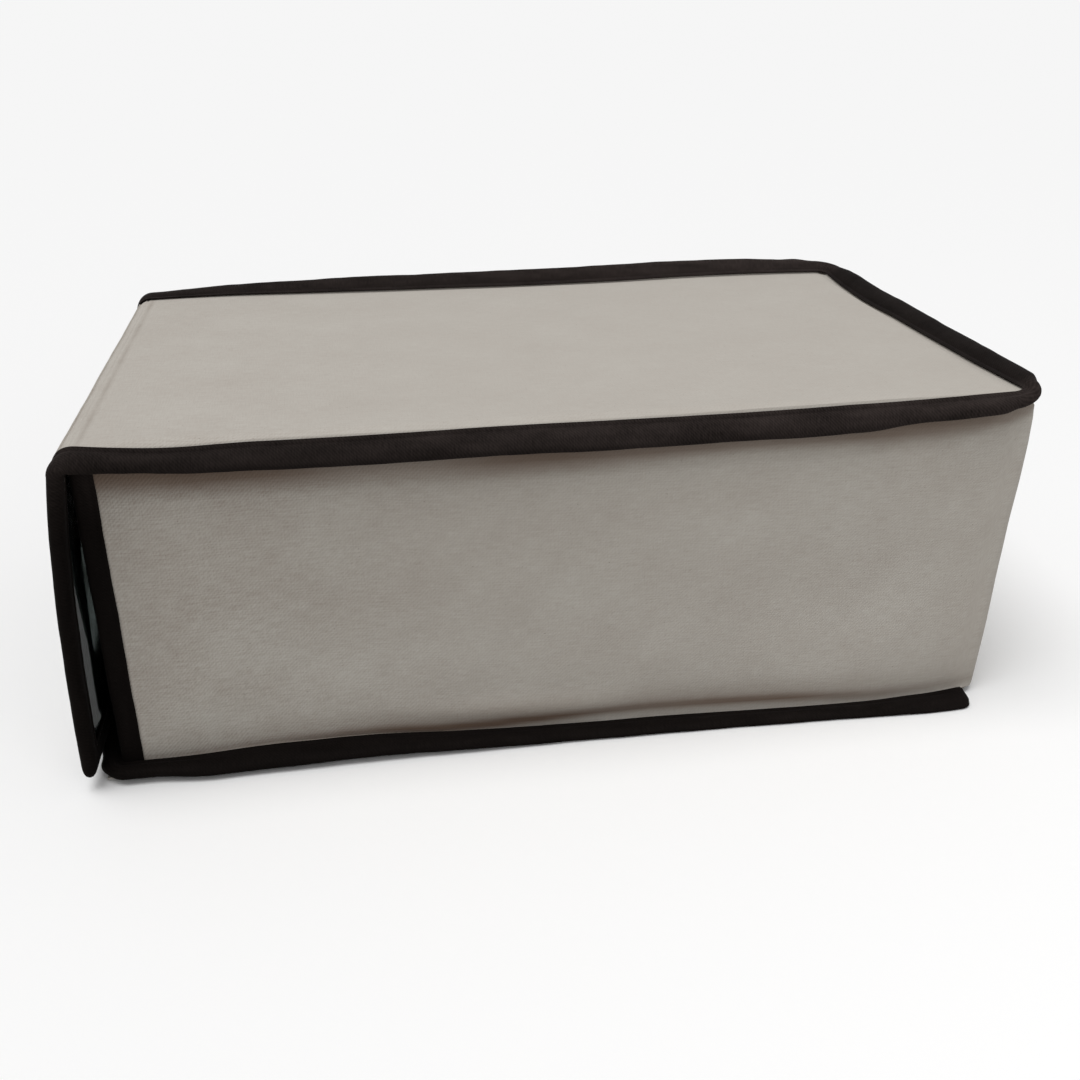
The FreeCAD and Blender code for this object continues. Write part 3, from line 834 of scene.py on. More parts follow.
def build_side_canvas():
    """One strip round the near side, the back and the far side, with both edges turned out."""
    plan, outward, side = case_walk(2.0, 10)
    run = walk_length(plan)
    top = top_course(2.0, 10)
    x, y = plan[:, 0], plan[:, 1]
    near_lift, near_in, near_lean = bottom_seam(x, -1)
    far_lift, far_in, far_lean = bottom_seam(x, 1)
    lifted = by_side(side, near_lift, 0 * x, far_lift)
    bottom_in = by_side(side, near_in, 0 * x, far_in)
    lean = by_side(side, near_lean, 0 * x, far_lean)
    root = np.stack([x, y, BOTTOM_SEAM + lifted], axis=1) - outward * bottom_in[:, None]
    flange = Course(root, outward, lean, 0 * x, run)
    tucked = by_side(side, 1 - ease(x, 318, 323), 0 * x, 1 - ease(x, 318, 323))
    rows = []
    for reach in (5.5, 3.6, 2.2, 1.2, 0.5):
        rows.append(flange.place((reach * tucked)[:, None], np.full((len(x), 1), CLOTH))[:, 0])
    shares = np.concatenate([[0.004, 0.01, 0.018, 0.028, 0.04, 0.052, 0.064, 0.078, 0.095],
                             np.linspace(0.115, 0.9, 27), [0.92, 0.94, 0.955, 0.97, 0.98, 0.99]])
    top_level = top.root[:, 2] - CLOTH
    front = ease(x, 7, 26)
    for share in shares:
        low = BOTTOM_SEAM + lifted + CLOTH
        z = low + share * (top_level - low)
        height = z - BOTTOM_SEAM
        bow = settings("canvas").bow * ease(height, 9, 30) * (1 - ease(height, 100, 124))
        swell = bow * (0.75 + 0.35 * ripple(run + 0.5 * height, 210, 1.1))
        free = ease(height, 9, 24) * (1 - ease(height, 104, 122))
        waves = 0.26 * ripple(run - 0.7 * height, 96, 2.0) * free
        calm = by_side(side, front, 1 + 0 * x, front)
        fold = 1.2 * hump(height - lifted, 10, 7) * hump(x, 150, 70) * (side < 0.5)
        drawn = bottom_in * (1 - ease(height - lifted, 0, np.where(bottom_in < 0, 60, 3)))
        away = np.maximum((swell + waves) * calm + fold - drawn, -0.1 - bottom_in * (height < 6))
        spot = np.stack([x, y, z], axis=1) + outward * away[:, None]
        final = ease(share, 0.955, 1)
        spot = spot * (1 - final) + np.column_stack([top.root[:, :2], z]) * final
        spot[:, 0] += through(*BACK_SWELL, z) * ease(x, 150, 324)
        rows.append(spot)
    for reach in (0.3, 0.9, 2.2, 4.5):
        rows.append(top.place(np.full((len(x), 1), reach), np.full((len(x), 1), -CLOTH))[:, 0])
    points = np.stack(rows, axis=0)
    points[:, :, 2] = np.maximum(points[:, :, 2], 0.3)
    flat = np.stack([np.broadcast_to(run, points.shape[:2]), up_columns(points)], axis=2)
    # Painted shade: darker under the overhanging top tape, a dark line in the crease above the bottom tape
    # and a faint shade over the front of the near side.
    hidden = top.width * (np.maximum(-np.sin(top.lean), 0) + 0.5 * np.cos(top.lean))
    below = top_level - hidden - points[:, :, 2]
    above = np.maximum(points[:, :, 2] - root[:, 2], 0)
    deep = by_side(side, through(*SHADE_DEPTH, x), 0.7 + 0 * x, 0.7 + 0 * x)
    reach = by_side(side, through(*SHADE_REACH, x), 7 + 0 * x, 7 + 0 * x)
    crease = by_side(side, through(*CREASE_DEPTH, x), 0.2 + 0 * x, 0.2 + 0 * x)
    front_shade = 0.15 * (1 - ease(x, 60, 200)) * (1 - ease(below, 20, 110))
    shade = deep * (1 - ease(below / reach, 0.1, 1)) + front_shade
    centre = through([0, 99, 128, 143, 159, 208, 290], [1.5, 2.5, 3.2, 4.2, 5, 6, 4], x)
    dark_line = np.exp(-((above - centre) / 2.2) ** 2)
    crease = crease * (dark_line + 0.4 * np.exp(-((above - centre - 4) / 5) ** 2))
    shade = np.clip(shade + crease, 0, 1.25)
    piece = make_cloth("side_canvas", points, flat, CLOTH * 0.8, woven_canvas, shade)
    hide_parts("side_wrap")
    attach(piece, "case")
    return piece


def build_bottom_canvas():
    """Canvas under the bottom, slack between the seams and drawn flat into them."""
    columns = np.concatenate([[-6, -4, -2], np.linspace(0, 319, 64), [321.5, 323.5, 326, 328, 329.6]])
    rows = np.concatenate([[-HALF_WIDTH - 4, -HALF_WIDTH - 2.8, -HALF_WIDTH - 1.4],
                           np.linspace(-HALF_WIDTH, HALF_WIDTH, 40),
                           [HALF_WIDTH + 1.4, HALF_WIDTH + 2.8, HALF_WIDTH + 4]])
    x, y = np.meshgrid(columns, rows)
    over = np.maximum(np.abs(y) - HALF_WIDTH, 0) * (1 - ease(x, 319, 323))
    y = np.sign(y) * (np.minimum(np.abs(y), HALF_WIDTH) + over)
    y = y * (1 - 0.03 * ease(x, 324, 330))
    lift, _, lean = bottom_seam(np.clip(x, 0, 324), -1)
    edge = np.where(y < 0, lift + over * np.sin(np.radians(lean)), 0.4)
    edge = edge * ease(np.abs(y), HALF_WIDTH - 26, HALF_WIDTH) * ease(x, -6, 10) * (1 - ease(x, 316, 329))
    inside = ease(HALF_WIDTH - np.abs(y), -2, 16) * ease(x, -4, 14) * ease(LENGTH - x, -2, 16)
    z = BOTTOM_SEAM - CLOTH + np.maximum(edge, 0) - 0.12 * inside * (1 + ripple(x + y, 120, 0.3))
    z = z + 0.7 * ease(x, 328, 330)
    points = np.stack([x, y, z], axis=2)
    flat = np.stack([x, y], axis=2)
    piece = make_cloth("bottom_canvas", points, flat, CLOTH * 0.9, woven_canvas, turned=True)
    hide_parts("bottom_cover")
    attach(piece, "case")
    return piece


class SHOEBOX_OT_case_canvas(bpy.types.Operator):
    """Makes the canvas of the case: top panel, side strip and bottom"""
    bl_idname = "shoebox.case_canvas"
    bl_label = "Case canvas"

    def execute(self, context):
        top = build_top_canvas()
        wrap = build_side_canvas()
        bottom = build_bottom_canvas()
        return {"FINISHED"}


# Lining

def lining_sheet(name, points, node, turned=False):
    """Dark lining on one grid of points."""
    flat = np.stack([along_rows(points), up_columns(points)], axis=2)
    piece = make_cloth(name, points, flat, LINING * 0.75, spun_lining, turned=turned)
    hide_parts(node)
    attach(piece, "case")


def lipped_grid(lip, run_x, level, across):
    """Level grid whose front end follows the lip's points first."""
    path_x = np.concatenate([lip[:, 0], run_x])
    path_z = np.concatenate([lip[:, 1], np.full_like(run_x, level)])
    x, y = np.meshgrid(path_x, across)
    return x, y, np.broadcast_to(path_z, x.shape)


class SHOEBOX_OT_lining(bpy.types.Operator):
    """Makes the dark lining inside the case"""
    bl_idname = "shoebox.lining"
    bl_label = "Lining"

    def execute(self, context):
        floor_level = node_end("bottom_lining", 1, 2)
        ceiling = node_end("wall_lining", 1, 2)
        half = HALF_WIDTH - WALL
        end = LENGTH - WALL
        corner = 3.0
        xs = np.linspace(0.5, end - corner, 60)
        turn = np.radians(np.linspace(0, 90, 7))[1:-1]
        ys = np.linspace(-half + corner, half - corner, 40)
        plan_x = np.concatenate([xs, end - corner + corner * np.sin(turn), np.full_like(ys, end),
                                 end - corner + corner * np.cos(turn), xs[::-1]])
        plan_y = np.concatenate([np.full_like(xs, -half), -half + corner - corner * np.cos(turn), ys,
                                 half - corner + corner * np.sin(turn), np.full_like(xs, half)])
        levels = np.linspace(floor_level - LINING + 0.1, ceiling, 26)
        rows = []
        run = walk_length(np.stack([plan_x, plan_y], axis=1))
        for z in levels:
            slack = 0.25 * (1 + ripple(run + 0.4 * z, 75, 0.8)) * hump(z, 62, 60)
            pulled_x = plan_x - slack * (plan_x > end - 1)
            pulled_y = plan_y - np.sign(plan_y) * slack * (np.abs(plan_y) > half - 1)
            rows.append(np.stack([pulled_x, pulled_y, np.full_like(plan_x, z)], axis=1))
        lining_sheet("inside_wall_lining", np.stack(rows, axis=0), "wall_lining", True)
        across = np.linspace(-half + 0.1, half - 0.1, 36)
        lip = np.array([[-SEAM_WIDTH + 4, BOTTOM_SEAM + LINING], [-2, BOTTOM_SEAM + LINING],
                        [0.6, BOTTOM_SEAM + LINING + 0.2], [1.1, BOTTOM_SEAM + 1.2],
                        [1.2, floor_level - 0.6], [1.8, floor_level]])
        run_x = np.linspace(1.8, end - 0.1, 60)[1:]
        x, y, z = lipped_grid(lip, run_x, floor_level, across)
        free = ease(x, 4, 20) * ease(half - np.abs(y), 1, 12) * ease(end - x, 1, 12)
        z = z + 0.15 * free * (1 + ripple(x - y, 90, 1.7))
        lining_sheet("inside_floor_lining", np.stack([x, y, z], axis=2), "bottom_lining")
        ceiling_level = node_end("top_lining", 0, 2)
        wide = np.linspace(-HALF_WIDTH + 2.2, HALF_WIDTH - 2.2, 40)
        lip = np.array([[2.3, TOP_SEAM - 0.3], [2.5, TOP_SEAM - 0.9], [2.6, TOP_SEAM - 1.5],
                        [2.7, ceiling_level + 0.5], [3.3, ceiling_level + 0.05]])
        run_x = np.linspace(4.2, LENGTH - 4.6, 60)
        x, y, z = lipped_grid(lip, run_x, ceiling_level, wide)
        lining_sheet("inside_top_lining", np.stack([x, y, z], axis=2), "top_lining", True)
        return {"FINISHED"}


# Case tapes

def build_top_tape():
    """Tape from the middle of the roll along the near side, round the back and home on the far side."""
    course = top_course(1.0, 16)
    roll = settings("tape").roll * (1 + 0.07 * ripple(course.run, 37, 0.2))
    out, up = tape_section(course.width, roll)
    corner = hump(side_numbers(), 0.5, 0.22) + hump(side_numbers(), 1.5, 0.22)
    inner = np.clip(1 - out / (0.8 * course.width[:, None]), 0, 1)
    up = np.where(up > 0, up * (1 - 0.3 * corner[:, None] * np.sqrt(inner)), up)
    body = course.place(out, up)
    angles = np.linspace(0, ROLL_MIDDLE, 16)[1:]
    near = roll_tape(-1, angles[::-1], FRONT_LEAN, course.width[0], roll[0])
    far = roll_tape(1, angles, math.degrees(course.lean[-1]), course.width[-1], roll[-1])
    points = np.concatenate([near, body, far])
    rolled = angles * ROLL_LENGTH / ROLL_END
    run = np.concatenate([-rolled[::-1], course.run, course.run[-1] + rolled])
    flat = strip_flat(run, points)
    piece = make_cloth("top_tape", points, flat, TAPE_CLOTH, twill_tape, turned=True)
    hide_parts("top_binding")
    bend_at_crease(piece, True)


def sill_course():
    """Course of the bottom seam: along the far side to the front, across it and back along the near side."""
    small = 1.0
    end = LENGTH - TAPE_END
    count = 240
    xs = np.linspace(end, small, count)
    turn = np.radians(np.linspace(180, 270, 12))
    ys = np.linspace(HALF_WIDTH - small, -HALF_WIDTH + small, 124)[1:-1]
    home = np.radians(np.linspace(270, 360, 12))
    x = np.concatenate([xs, small + small * np.sin(turn)[1:], np.zeros_like(ys),
                        small + small * np.sin(home), xs[::-1][1:]])
    y = np.concatenate([np.full(count, HALF_WIDTH), HALF_WIDTH - small - small * np.cos(turn)[1:], ys,
                        -HALF_WIDTH + small - small * np.cos(home), np.full(count - 1, -HALF_WIDTH)])
    angle = np.concatenate([np.full(count, math.pi), turn[1:], np.full(len(ys), 1.5 * math.pi), home,
                            np.full(count - 1, math.tau)])
    near_lift, near_in, near_lean = bottom_seam(np.clip(x, 0, LENGTH), -1)
    far_lift, far_in, far_lean = bottom_seam(np.clip(x, 0, LENGTH), 1)
    nearness = ease(-y, -HALF_WIDTH, HALF_WIDTH)
    lift = far_lift * (1 - nearness) + near_lift * nearness
    lean = far_lean * (1 - nearness) + near_lean * nearness
    pulled = far_in * (1 - nearness) + near_in * nearness
    outward = np.stack([np.sin(angle), -np.cos(angle), np.zeros_like(angle)], axis=1)
    root = np.stack([x, y, BOTTOM_SEAM + lift], axis=1) - outward * pulled[:, None]
    run = walk_length(np.stack([x, y], axis=1))
    to_end = np.minimum(run, run[-1] - run)
    rounding = 4 - np.sqrt(np.maximum(16 - np.maximum(4 - to_end, 0) ** 2, 0))
    corner = hump(np.degrees(angle), 225, 45) + hump(np.degrees(angle), 315, 45)
    slim = 2.6 * (1 - ease(x, 5, 32)) * ease(np.abs(y), 78, 92)
    slimmer = through([0, 40, 90, 120, 200, 240, 285, 305, 330], [0, 0.7, 1.2, 1.5, 1.7, 2.2, 1.5, 0, 0], x)
    slim = slim + slimmer * nearness
    width = (SEAM_WIDTH - slim + 0.2 * ripple(run, 71, 0.9)) * (1 - 0.1 * corner) - rounding
    return Course(root, outward, lean, width, run), to_end


def build_bottom_tape():
    """Tape along the bottom seam, its two ends tucked in at the back corners and kept off the ground."""
    course, to_end = sill_course()
    close = np.sqrt(np.clip(1 - (1 - np.clip(to_end / 1.4, 0, 1)) ** 2, 0, 1))
    flat_part = hump(course.root[:, 0], 190, 110) * (course.root[:, 1] < 0)
    roll = settings("tape").roll * (0.95 - 0.17 * flat_part + 0.06 * ripple(course.run, 41, 1.9))
    out, up = tape_section(course.width, roll)
    points = course.place(out, up * np.maximum(close, 0.02)[:, None])
    points[:, :, 2] = np.maximum(points[:, :, 2], TAPE_CLOTH + 0.02)
    flat = strip_flat(course.run, points)
    piece = make_cloth("bottom_tape", points, flat, TAPE_CLOTH, twill_tape, turned=True)
    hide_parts("bottom_binding")
    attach(piece, "case")


def build_front_tape(side):
    """Tape folded round the upright front edge of one side wall."""
    place = "near" if side < 0 else "far"
    name = "front_" + place + "_tape"
    node = "front_" + place + "_binding"
    leg = node_end(node, 1, 0) - FOLD_LINE
    low = BOTTOM_SEAM + 1.2 + float(bottom_seam(2.0, side)[0])
    high = node_end(node, 1, 2) + 0.5
    z = np.linspace(low, high, 90)
    outer = HALF_WIDTH
    inner = HALF_WIDTH - WALL
    section = np.array([
        (leg, outer + 0.55), (leg - 1.0, outer + 0.72), (leg - 1.8, outer + 0.5), (leg - 3.2, outer + 0.95),
        (1.6, outer + 1.0), (0.2, outer + 0.85), (-0.7, outer + 0.1), (-0.95, outer - 0.9),
        (-0.95, inner + 0.9), (-0.7, inner - 0.1), (0.2, inner - 0.85), (1.6, inner - 1.0),
        (leg - 3.2, inner - 0.95), (leg - 1.8, inner - 0.5), (leg - 1.0, inner - 0.72), (leg, inner - 0.55)])
    section = smooth_rows(smooth_rows(section.T)).T
    points = np.zeros((len(z), len(section), 3))
    points[:, :, 0] = section[None, :, 0] + 0.15 * ripple(z, 47, 0.5 + side)[:, None]
    points[:, :, 1] = side * section[None, :, 1]
    points[:, :, 2] = z[:, None]
    flat = strip_flat(z, points)
    piece = make_cloth(name, points, flat, PRESSED_TAPE, twill_tape, turned=side < 0)
    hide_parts(node)
    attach(piece, "case")


class SHOEBOX_OT_case_tapes(bpy.types.Operator):
    """Makes the tapes that bind the seams of the case"""
    bl_idname = "shoebox.case_tapes"
    bl_label = "Case tapes"

    def execute(self, context):
        build_top_tape()
        build_bottom_tape()
        build_front_tape(-1)
        build_front_tape(1)
        return {"FINISHED"}


def declare_fold(piece, node, upper):
    """Half of the roll's canvas or lining, a folded sheet: hides its imported node and bakes its place into
    its mesh.
    """
    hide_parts(node)
    bend_at_crease(piece, upper)


def build_roll_lining(upper):
    """Half of the lining inside the roll."""
    name = "fold_lining_upper" if upper else "fold_lining_lower"
    radius = CANVAS_ROLL - CLOTH - 0.35
    ys = np.linspace(-HALF_WIDTH - FLANGE, HALF_WIDTH + FLANGE, 80)
    angles = np.linspace(0, ROLL_MIDDLE, 14) if upper else np.linspace(ROLL_MIDDLE, ROLL_END, 14)
    y, angle = np.meshgrid(ys, angles)
    groove = 0.32 * hump(np.degrees(angle), 9, 8)
    points = roll_point(angle, radius - groove + roll_wave(angle, y), y)
    flat = np.stack([-ROLL_LENGTH / ROLL_END * angle, y], axis=2)
    piece = make_cloth(name, points, flat, LINING * 0.8, spun_lining, turned=True)
    declare_fold(piece, "fold_lining", upper)


def build_roll_canvas():
    """Lower half of the canvas roll, between its middle and the flap."""
    ys = np.linspace(-HALF_WIDTH - FLANGE, HALF_WIDTH + FLANGE, 90)
    angles = np.linspace(ROLL_MIDDLE, ROLL_END, 15)
    y, angle = np.meshgrid(ys, angles)
    points = roll_canvas_points(angle, y)
    flat = np.stack([-ROLL_LENGTH / ROLL_END * angle, y], axis=2)
    piece = make_cloth("roll_canvas", points, flat, CLOTH, woven_canvas, turned=True)
    declare_fold(piece, "fold_canvas", False)


class SHOEBOX_OT_fold(bpy.types.Operator):
    """Makes the canvas and the lining that roll over the front edge"""
    bl_idname = "shoebox.fold"
    bl_label = "Fold"

    def execute(self, context):
        build_roll_canvas()
        build_roll_lining(True)
        build_roll_lining(False)
        return {"FINISHED"}


def rounded_loop(half, top, bottom, radius, per_side=40, per_corner=10, closed=True):
    """Walk round a rounded rectangle on the flap as (y, down): near edge, bottom, far edge, top."""
    turns = np.radians(np.linspace(0, 90, per_corner + 2)[1:-1])

    def corner(y, down, first, last):
        ways = np.outer(np.cos(turns), first) + np.outer(np.sin(turns), last)
        return np.array([y, down]) + radius * ways

    downs = np.linspace(top + (radius if closed else 0), bottom - radius, per_side)
    ys = np.linspace(-half + radius, half - radius, per_side + 20)
    parts = [np.column_stack([np.full_like(downs, -half), downs]),
             corner(radius - half, bottom - radius, (-1, 0), (0, 1)),
             np.column_stack([ys, np.full_like(ys, bottom)]),
             corner(half - radius, bottom - radius, (0, 1), (1, 0)),
             np.column_stack([np.full_like(downs, half), downs[::-1]])]
    if closed:
        parts += [corner(half - radius, top + radius, (1, 0), (0, -1)),
                  np.column_stack([ys[::-1], np.full_like(ys, top)]),
                  corner(radius - half, top + radius, (0, -1), (-1, 0)),
                  parts[0][:1]]
    return np.concatenate(parts)


def window_loop(growth):
    """Outline of the flap's window, grown outward by some millimetres."""
    values = settings("flap")
    border = values.border
    return rounded_loop(HALF_WIDTH + SEAM_WIDTH - border + growth, border - growth,
                        FLAP_LENGTH - border + growth, values.window_corner + growth)


def flap_sheet(name, loops, faces, maker, node, thickness):
    """Closed strip of cloth between several loops on the flap, each with its own face distance."""
    points = np.stack([flap_point(face + 0 * loop[:, 0], loop[:, 1], loop[:, 0])
                       for loop, face in zip(loops, faces)], axis=0)
    flat = np.stack([np.stack([loop[:, 0], -loop[:, 1]], axis=1) for loop in loops], axis=0)
    piece = cloth_grid(name, points, flat)
    clean_open(piece)
    thicken(piece, thickness)
    clean(piece)
    dress(piece, material_of(maker))
    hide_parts(node)
    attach(piece, "flap")
    return piece


def clean_open(piece):
    """Merges the seam of a closed strip without turning its faces."""
    select_only(piece)
    bpy.ops.object.mode_set(mode="EDIT")
    bpy.ops.mesh.select_all(action="SELECT")
    bpy.ops.mesh.remove_doubles(threshold=0.01 / MM)
    bpy.ops.object.mode_set(mode="OBJECT")


def build_flap_canvas():
    """Canvas face of the flap, with the window cut out."""
    inner = window_loop(0.6)
    outer = rounded_loop(HALF_WIDTH + SEAM_WIDTH - 3, 0, FLAP_LENGTH - 3, 4.5)
    shares = ease(np.linspace(0, 1, 15), 0, 1) * 0.4 + np.linspace(0, 1, 15) * 0.6
    loops = [inner * (1 - share) + outer * share for share in shares]
    faces = [CANVAS_ROLL + 0.12 * math.sin(share * math.pi) for share in shares]
    faces[0] = CANVAS_ROLL - 0.15
    piece = flap_sheet("flap_canvas", loops, faces, woven_canvas, "flap_cover", CLOTH * 0.9)
    values = settings("flap")


def build_flap_board():
    """Black-faced board inside the flap, cut out round the window."""
    inner = window_loop(0.4)
    outer = rounded_loop(HALF_WIDTH + SEAM_WIDTH - 2.4, 1.5, FLAP_LENGTH - 2.4, 4.0)
    loops = [inner * (1 - share) + outer * share for share in np.linspace(0, 1, 14)]
    face = CANVAS_ROLL - CLOTH - 0.05
    flap_sheet("card_flap_frame", loops, [face] * len(loops), black_board, "flap_frame", 1.8)


def build_window_tape():
    """Tape round the window, turned in over the cut edges of canvas and card."""
    trim = settings("flap").trim
    profile = [(trim, 0.15), (trim - 0.5, 0.55), (trim - 1.4, 0.62), (trim - 2.0, 0.4), (trim - 2.9, 0.72),
               (trim / 2, 0.85), (1.8, 0.8), (0.9, 0.55), (0.1, 0.0), (-0.25, -0.8), (-0.25, -2.0),
               (-0.1, -2.55)]
    growth, lift = (smooth_rows(np.array([column]))[0] for column in zip(*profile))
    loops = [window_loop(value) for value in growth]
    faces = [CANVAS_ROLL + value for value in lift]
    flap_sheet("window_tape", loops[::-1], faces[::-1], twill_tape, "window_trim", 0.45)


def build_flap_tape():
    """Tape from the roll's middle down the near edge of the flap, along its bottom and up the far edge."""
    half = HALF_WIDTH + SEAM_WIDTH
    outer = rounded_loop(half, 0, FLAP_LENGTH, 4.0, per_side=120, per_corner=12, closed=False)
    inner = rounded_loop(HALF_WIDTH + 0.8, 0, FLAP_LENGTH - SEAM_WIDTH + 0.8, 0.3, per_side=120,
                         per_corner=12, closed=False)
    run = walk_length(outer)
    reach = SEAM_WIDTH - 0.8
    top = top_course(1.0, 16)
    size = settings("tape").roll
    start = 1 - ease(outer[:, 1], 0, 12)
    roll = size * (1.1 + 0.05 * ripple(run, 43, 0.3) * (1 - start))
    out, up = tape_section(np.full(len(run), SEAM_WIDTH), roll, pressed=1.8 - 0.3 * start)
    part = (out - 0.8) / reach
    loop = inner[:, None, :] * (1 - part)[:, :, None] + outer[:, None, :] * part[:, :, None]
    points = flap_point(CANVAS_ROLL - PANEL_MIDDLE + up, loop[:, :, 1], loop[:, :, 0])
    angles = np.linspace(ROLL_MIDDLE, ROLL_END, 16)[:-1]
    near_roll = size * (1 + 0.07 * float(ripple(0.0, 37, 0.2)))
    far_roll = size * (1 + 0.07 * float(ripple(top.run[-1], 37, 0.2)))
    near = roll_tape(-1, angles, FRONT_LEAN, top.width[0], near_roll)
    far = roll_tape(1, angles[::-1], math.degrees(top.lean[-1]), top.width[-1], far_roll)
    points = np.concatenate([near, points, far])
    run = np.concatenate([(angles / ROLL_END - 1) * ROLL_LENGTH, run,
                          run[-1] + (1 - angles[::-1] / ROLL_END) * ROLL_LENGTH])
    flat = strip_flat(run, points)
    piece = make_cloth("flap_tape", points, flat, PRESSED_TAPE, twill_tape)
    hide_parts("flap_binding", "fold_near_binding", "fold_far_binding")
    bend_at_crease(piece, False)


def build_window_sheet():
    """Clear vinyl over the whole inner face of the flap, slightly rippled."""
    half = HALF_WIDTH + SEAM_WIDTH - 1.2
    ys = np.concatenate([np.linspace(-half, 26 - half, 66)[:-1], np.linspace(26 - half, half, 54)])
    downs = np.linspace(0.2, FLAP_LENGTH - 1.2, 90)
    y, down = np.meshgrid(ys, downs)
    calm = ease(half - np.abs(y), 4, 26) * ease(down, 4, 22) * ease(FLAP_LENGTH - down, 6, 26)
    clear = ease(half - np.abs(y), 8.5, 12) * ease(down, 1, 6) * ease(FLAP_LENGTH - down, 9.5, 13)
    face = CANVAS_ROLL - CLOTH - 2.05 - 0.45 * clear + 0.25 * calm * ripple(y + down, 92, 0.7)
    loose = ease(down, 22, 75) * (1 - ease(down, FLAP_LENGTH - 18, FLAP_LENGTH - 10))
    lip = ease(y, 0.4 - HALF_WIDTH, 1.6 - HALF_WIDTH) * (1 - ease(y, 2.2 - HALF_WIDTH, 10 - HALF_WIDTH))
    face = face - lip * (2.6 * loose + 0.7 * hump(down, 95, 2.2))
    points = flap_point(face, down, y)
    flat = np.stack([y, -down], axis=2)
    piece = make_cloth("flap_window_sheet", points, flat, VINYL, clear_vinyl, turned=True)
    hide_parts("flap_window")
    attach(piece, "flap")


class SHOEBOX_OT_flap(bpy.types.Operator):
    """Makes the flap: canvas, window, window tape and edge tape"""
    bl_idname = "shoebox.flap"
    bl_label = "Flap"

    def execute(self, context):
        build_flap_board()
        build_flap_canvas()
        build_window_tape()
        build_flap_tape()
        build_window_sheet()
        return {"FINISHED"}


# Stitches

def one_stitch():
    """Vertices and faces of one stitch, a short bead that sinks in at both ends."""
    deselect_all()
    bpy.ops.mesh.primitive_uv_sphere_add(segments=8, ring_count=5, radius=0.5)
    bead = bpy.context.object
    vertices = np.array([vertex.co[:] for vertex in bead.data.vertices])
    vertices = vertices[:, [2, 0, 1]]
    vertices[:, 2] -= 0.25 * (2 * vertices[:, 0]) ** 2
    faces = [tuple(polygon.vertices) for polygon in bead.data.polygons]
    mesh = bead.data
    bpy.data.objects.remove(bead)
    bpy.data.meshes.remove(mesh)
    return vertices, faces


def sew(name, lines, body):
    """Rows of stitches along lines of points, each line with the way up from the cloth."""
    shape, faces = one_stitch()
    length = settings("tape").stitch
    pitch = length + 0.7
    places = []
    for line, ups in lines:
        distance = walk_length(line)
        stops = np.arange(pitch, distance[-1] - pitch, pitch)
        spots = np.stack([np.interp(stops, distance, line[:, axis]) for axis in range(3)], axis=1)
        ahead = np.stack([np.interp(stops + 0.6, distance, line[:, axis]) for axis in range(3)], axis=1)
        up = np.stack([np.interp(stops, distance, ups[:, axis]) for axis in range(3)], axis=1)
        forward = ahead - spots
        forward /= np.linalg.norm(forward, axis=1)[:, None]
        across = np.cross(up, forward)
        across /= np.linalg.norm(across, axis=1)[:, None]
        up = np.cross(forward, across)
        turned = shape * np.array([length, 0.5, 0.42])
        for spot, one, two, three in zip(spots, forward, across, up):
            places.append(spot + turned[:, :1] * one + turned[:, 1:2] * two + turned[:, 2:] * three)
    vertices = (np.concatenate(places) + np.array([FOLD_LINE, 0, 0])) / MM
    every = [tuple(index + copy * len(shape) for index in face)
             for copy in range(len(places)) for face in faces]
    mesh = bpy.data.meshes.new(name)
    mesh.from_pydata(vertices.tolist(), [], every)
    piece = bpy.data.objects.new(name, mesh)
    bpy.context.scene.collection.objects.link(piece)
    clean(piece)
    dress(piece, material_of(sewing_thread))
    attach(piece, body)


def seam_line(course, skip, face=1):
    """Where stitches lie along a seam's tape, on its upper or lower face, with the way up from it."""
    out = np.full((len(course.run), 1), STITCH_LINE)
    line = course.place(out, face * np.full_like(out, STITCH_HEIGHT))[:, 0]
    above = course.place(out, face * np.full_like(out, STITCH_HEIGHT + 1))[:, 0]
    return line[skip:-skip], (above - line)[skip:-skip]


def flap_line(loop, face, way=1):
    """Where stitches lie along a loop on the flap, with the way up from its face."""
    line = flap_point(face + 0 * loop[:, 0], loop[:, 1], loop[:, 0])
    above = flap_point(face + way + 0 * loop[:, 0], loop[:, 1], loop[:, 0])
    return line, above - line


class SHOEBOX_OT_stitches(bpy.types.Operator):
    """Sews the tapes down with rows of dark stitches"""
    bl_idname = "shoebox.stitches"
    bl_label = "Stitches"

    def execute(self, context):
        top = top_course(1.0, 16)
        sew("top_stitches", [seam_line(top, 2, 1), seam_line(top, 2, -1)], "case")
        sew("bottom_stitches", [seam_line(sill_course()[0], 12)], "case")
        inner = rounded_loop(HALF_WIDTH + 2.6, 0, FLAP_LENGTH - SEAM_WIDTH + 2.6, 1.0, closed=False)
        middle = CANVAS_ROLL - PANEL_MIDDLE
        lines = [flap_line(inner, middle + face * 1.95, face) for face in (1, -1)]
        lines.append(flap_line(window_loop(settings("flap").trim - 2.0), CANVAS_ROLL + 0.5))
        sew("flap_stitches", lines, "flap")
        return {"FINISHED"}


# Boards

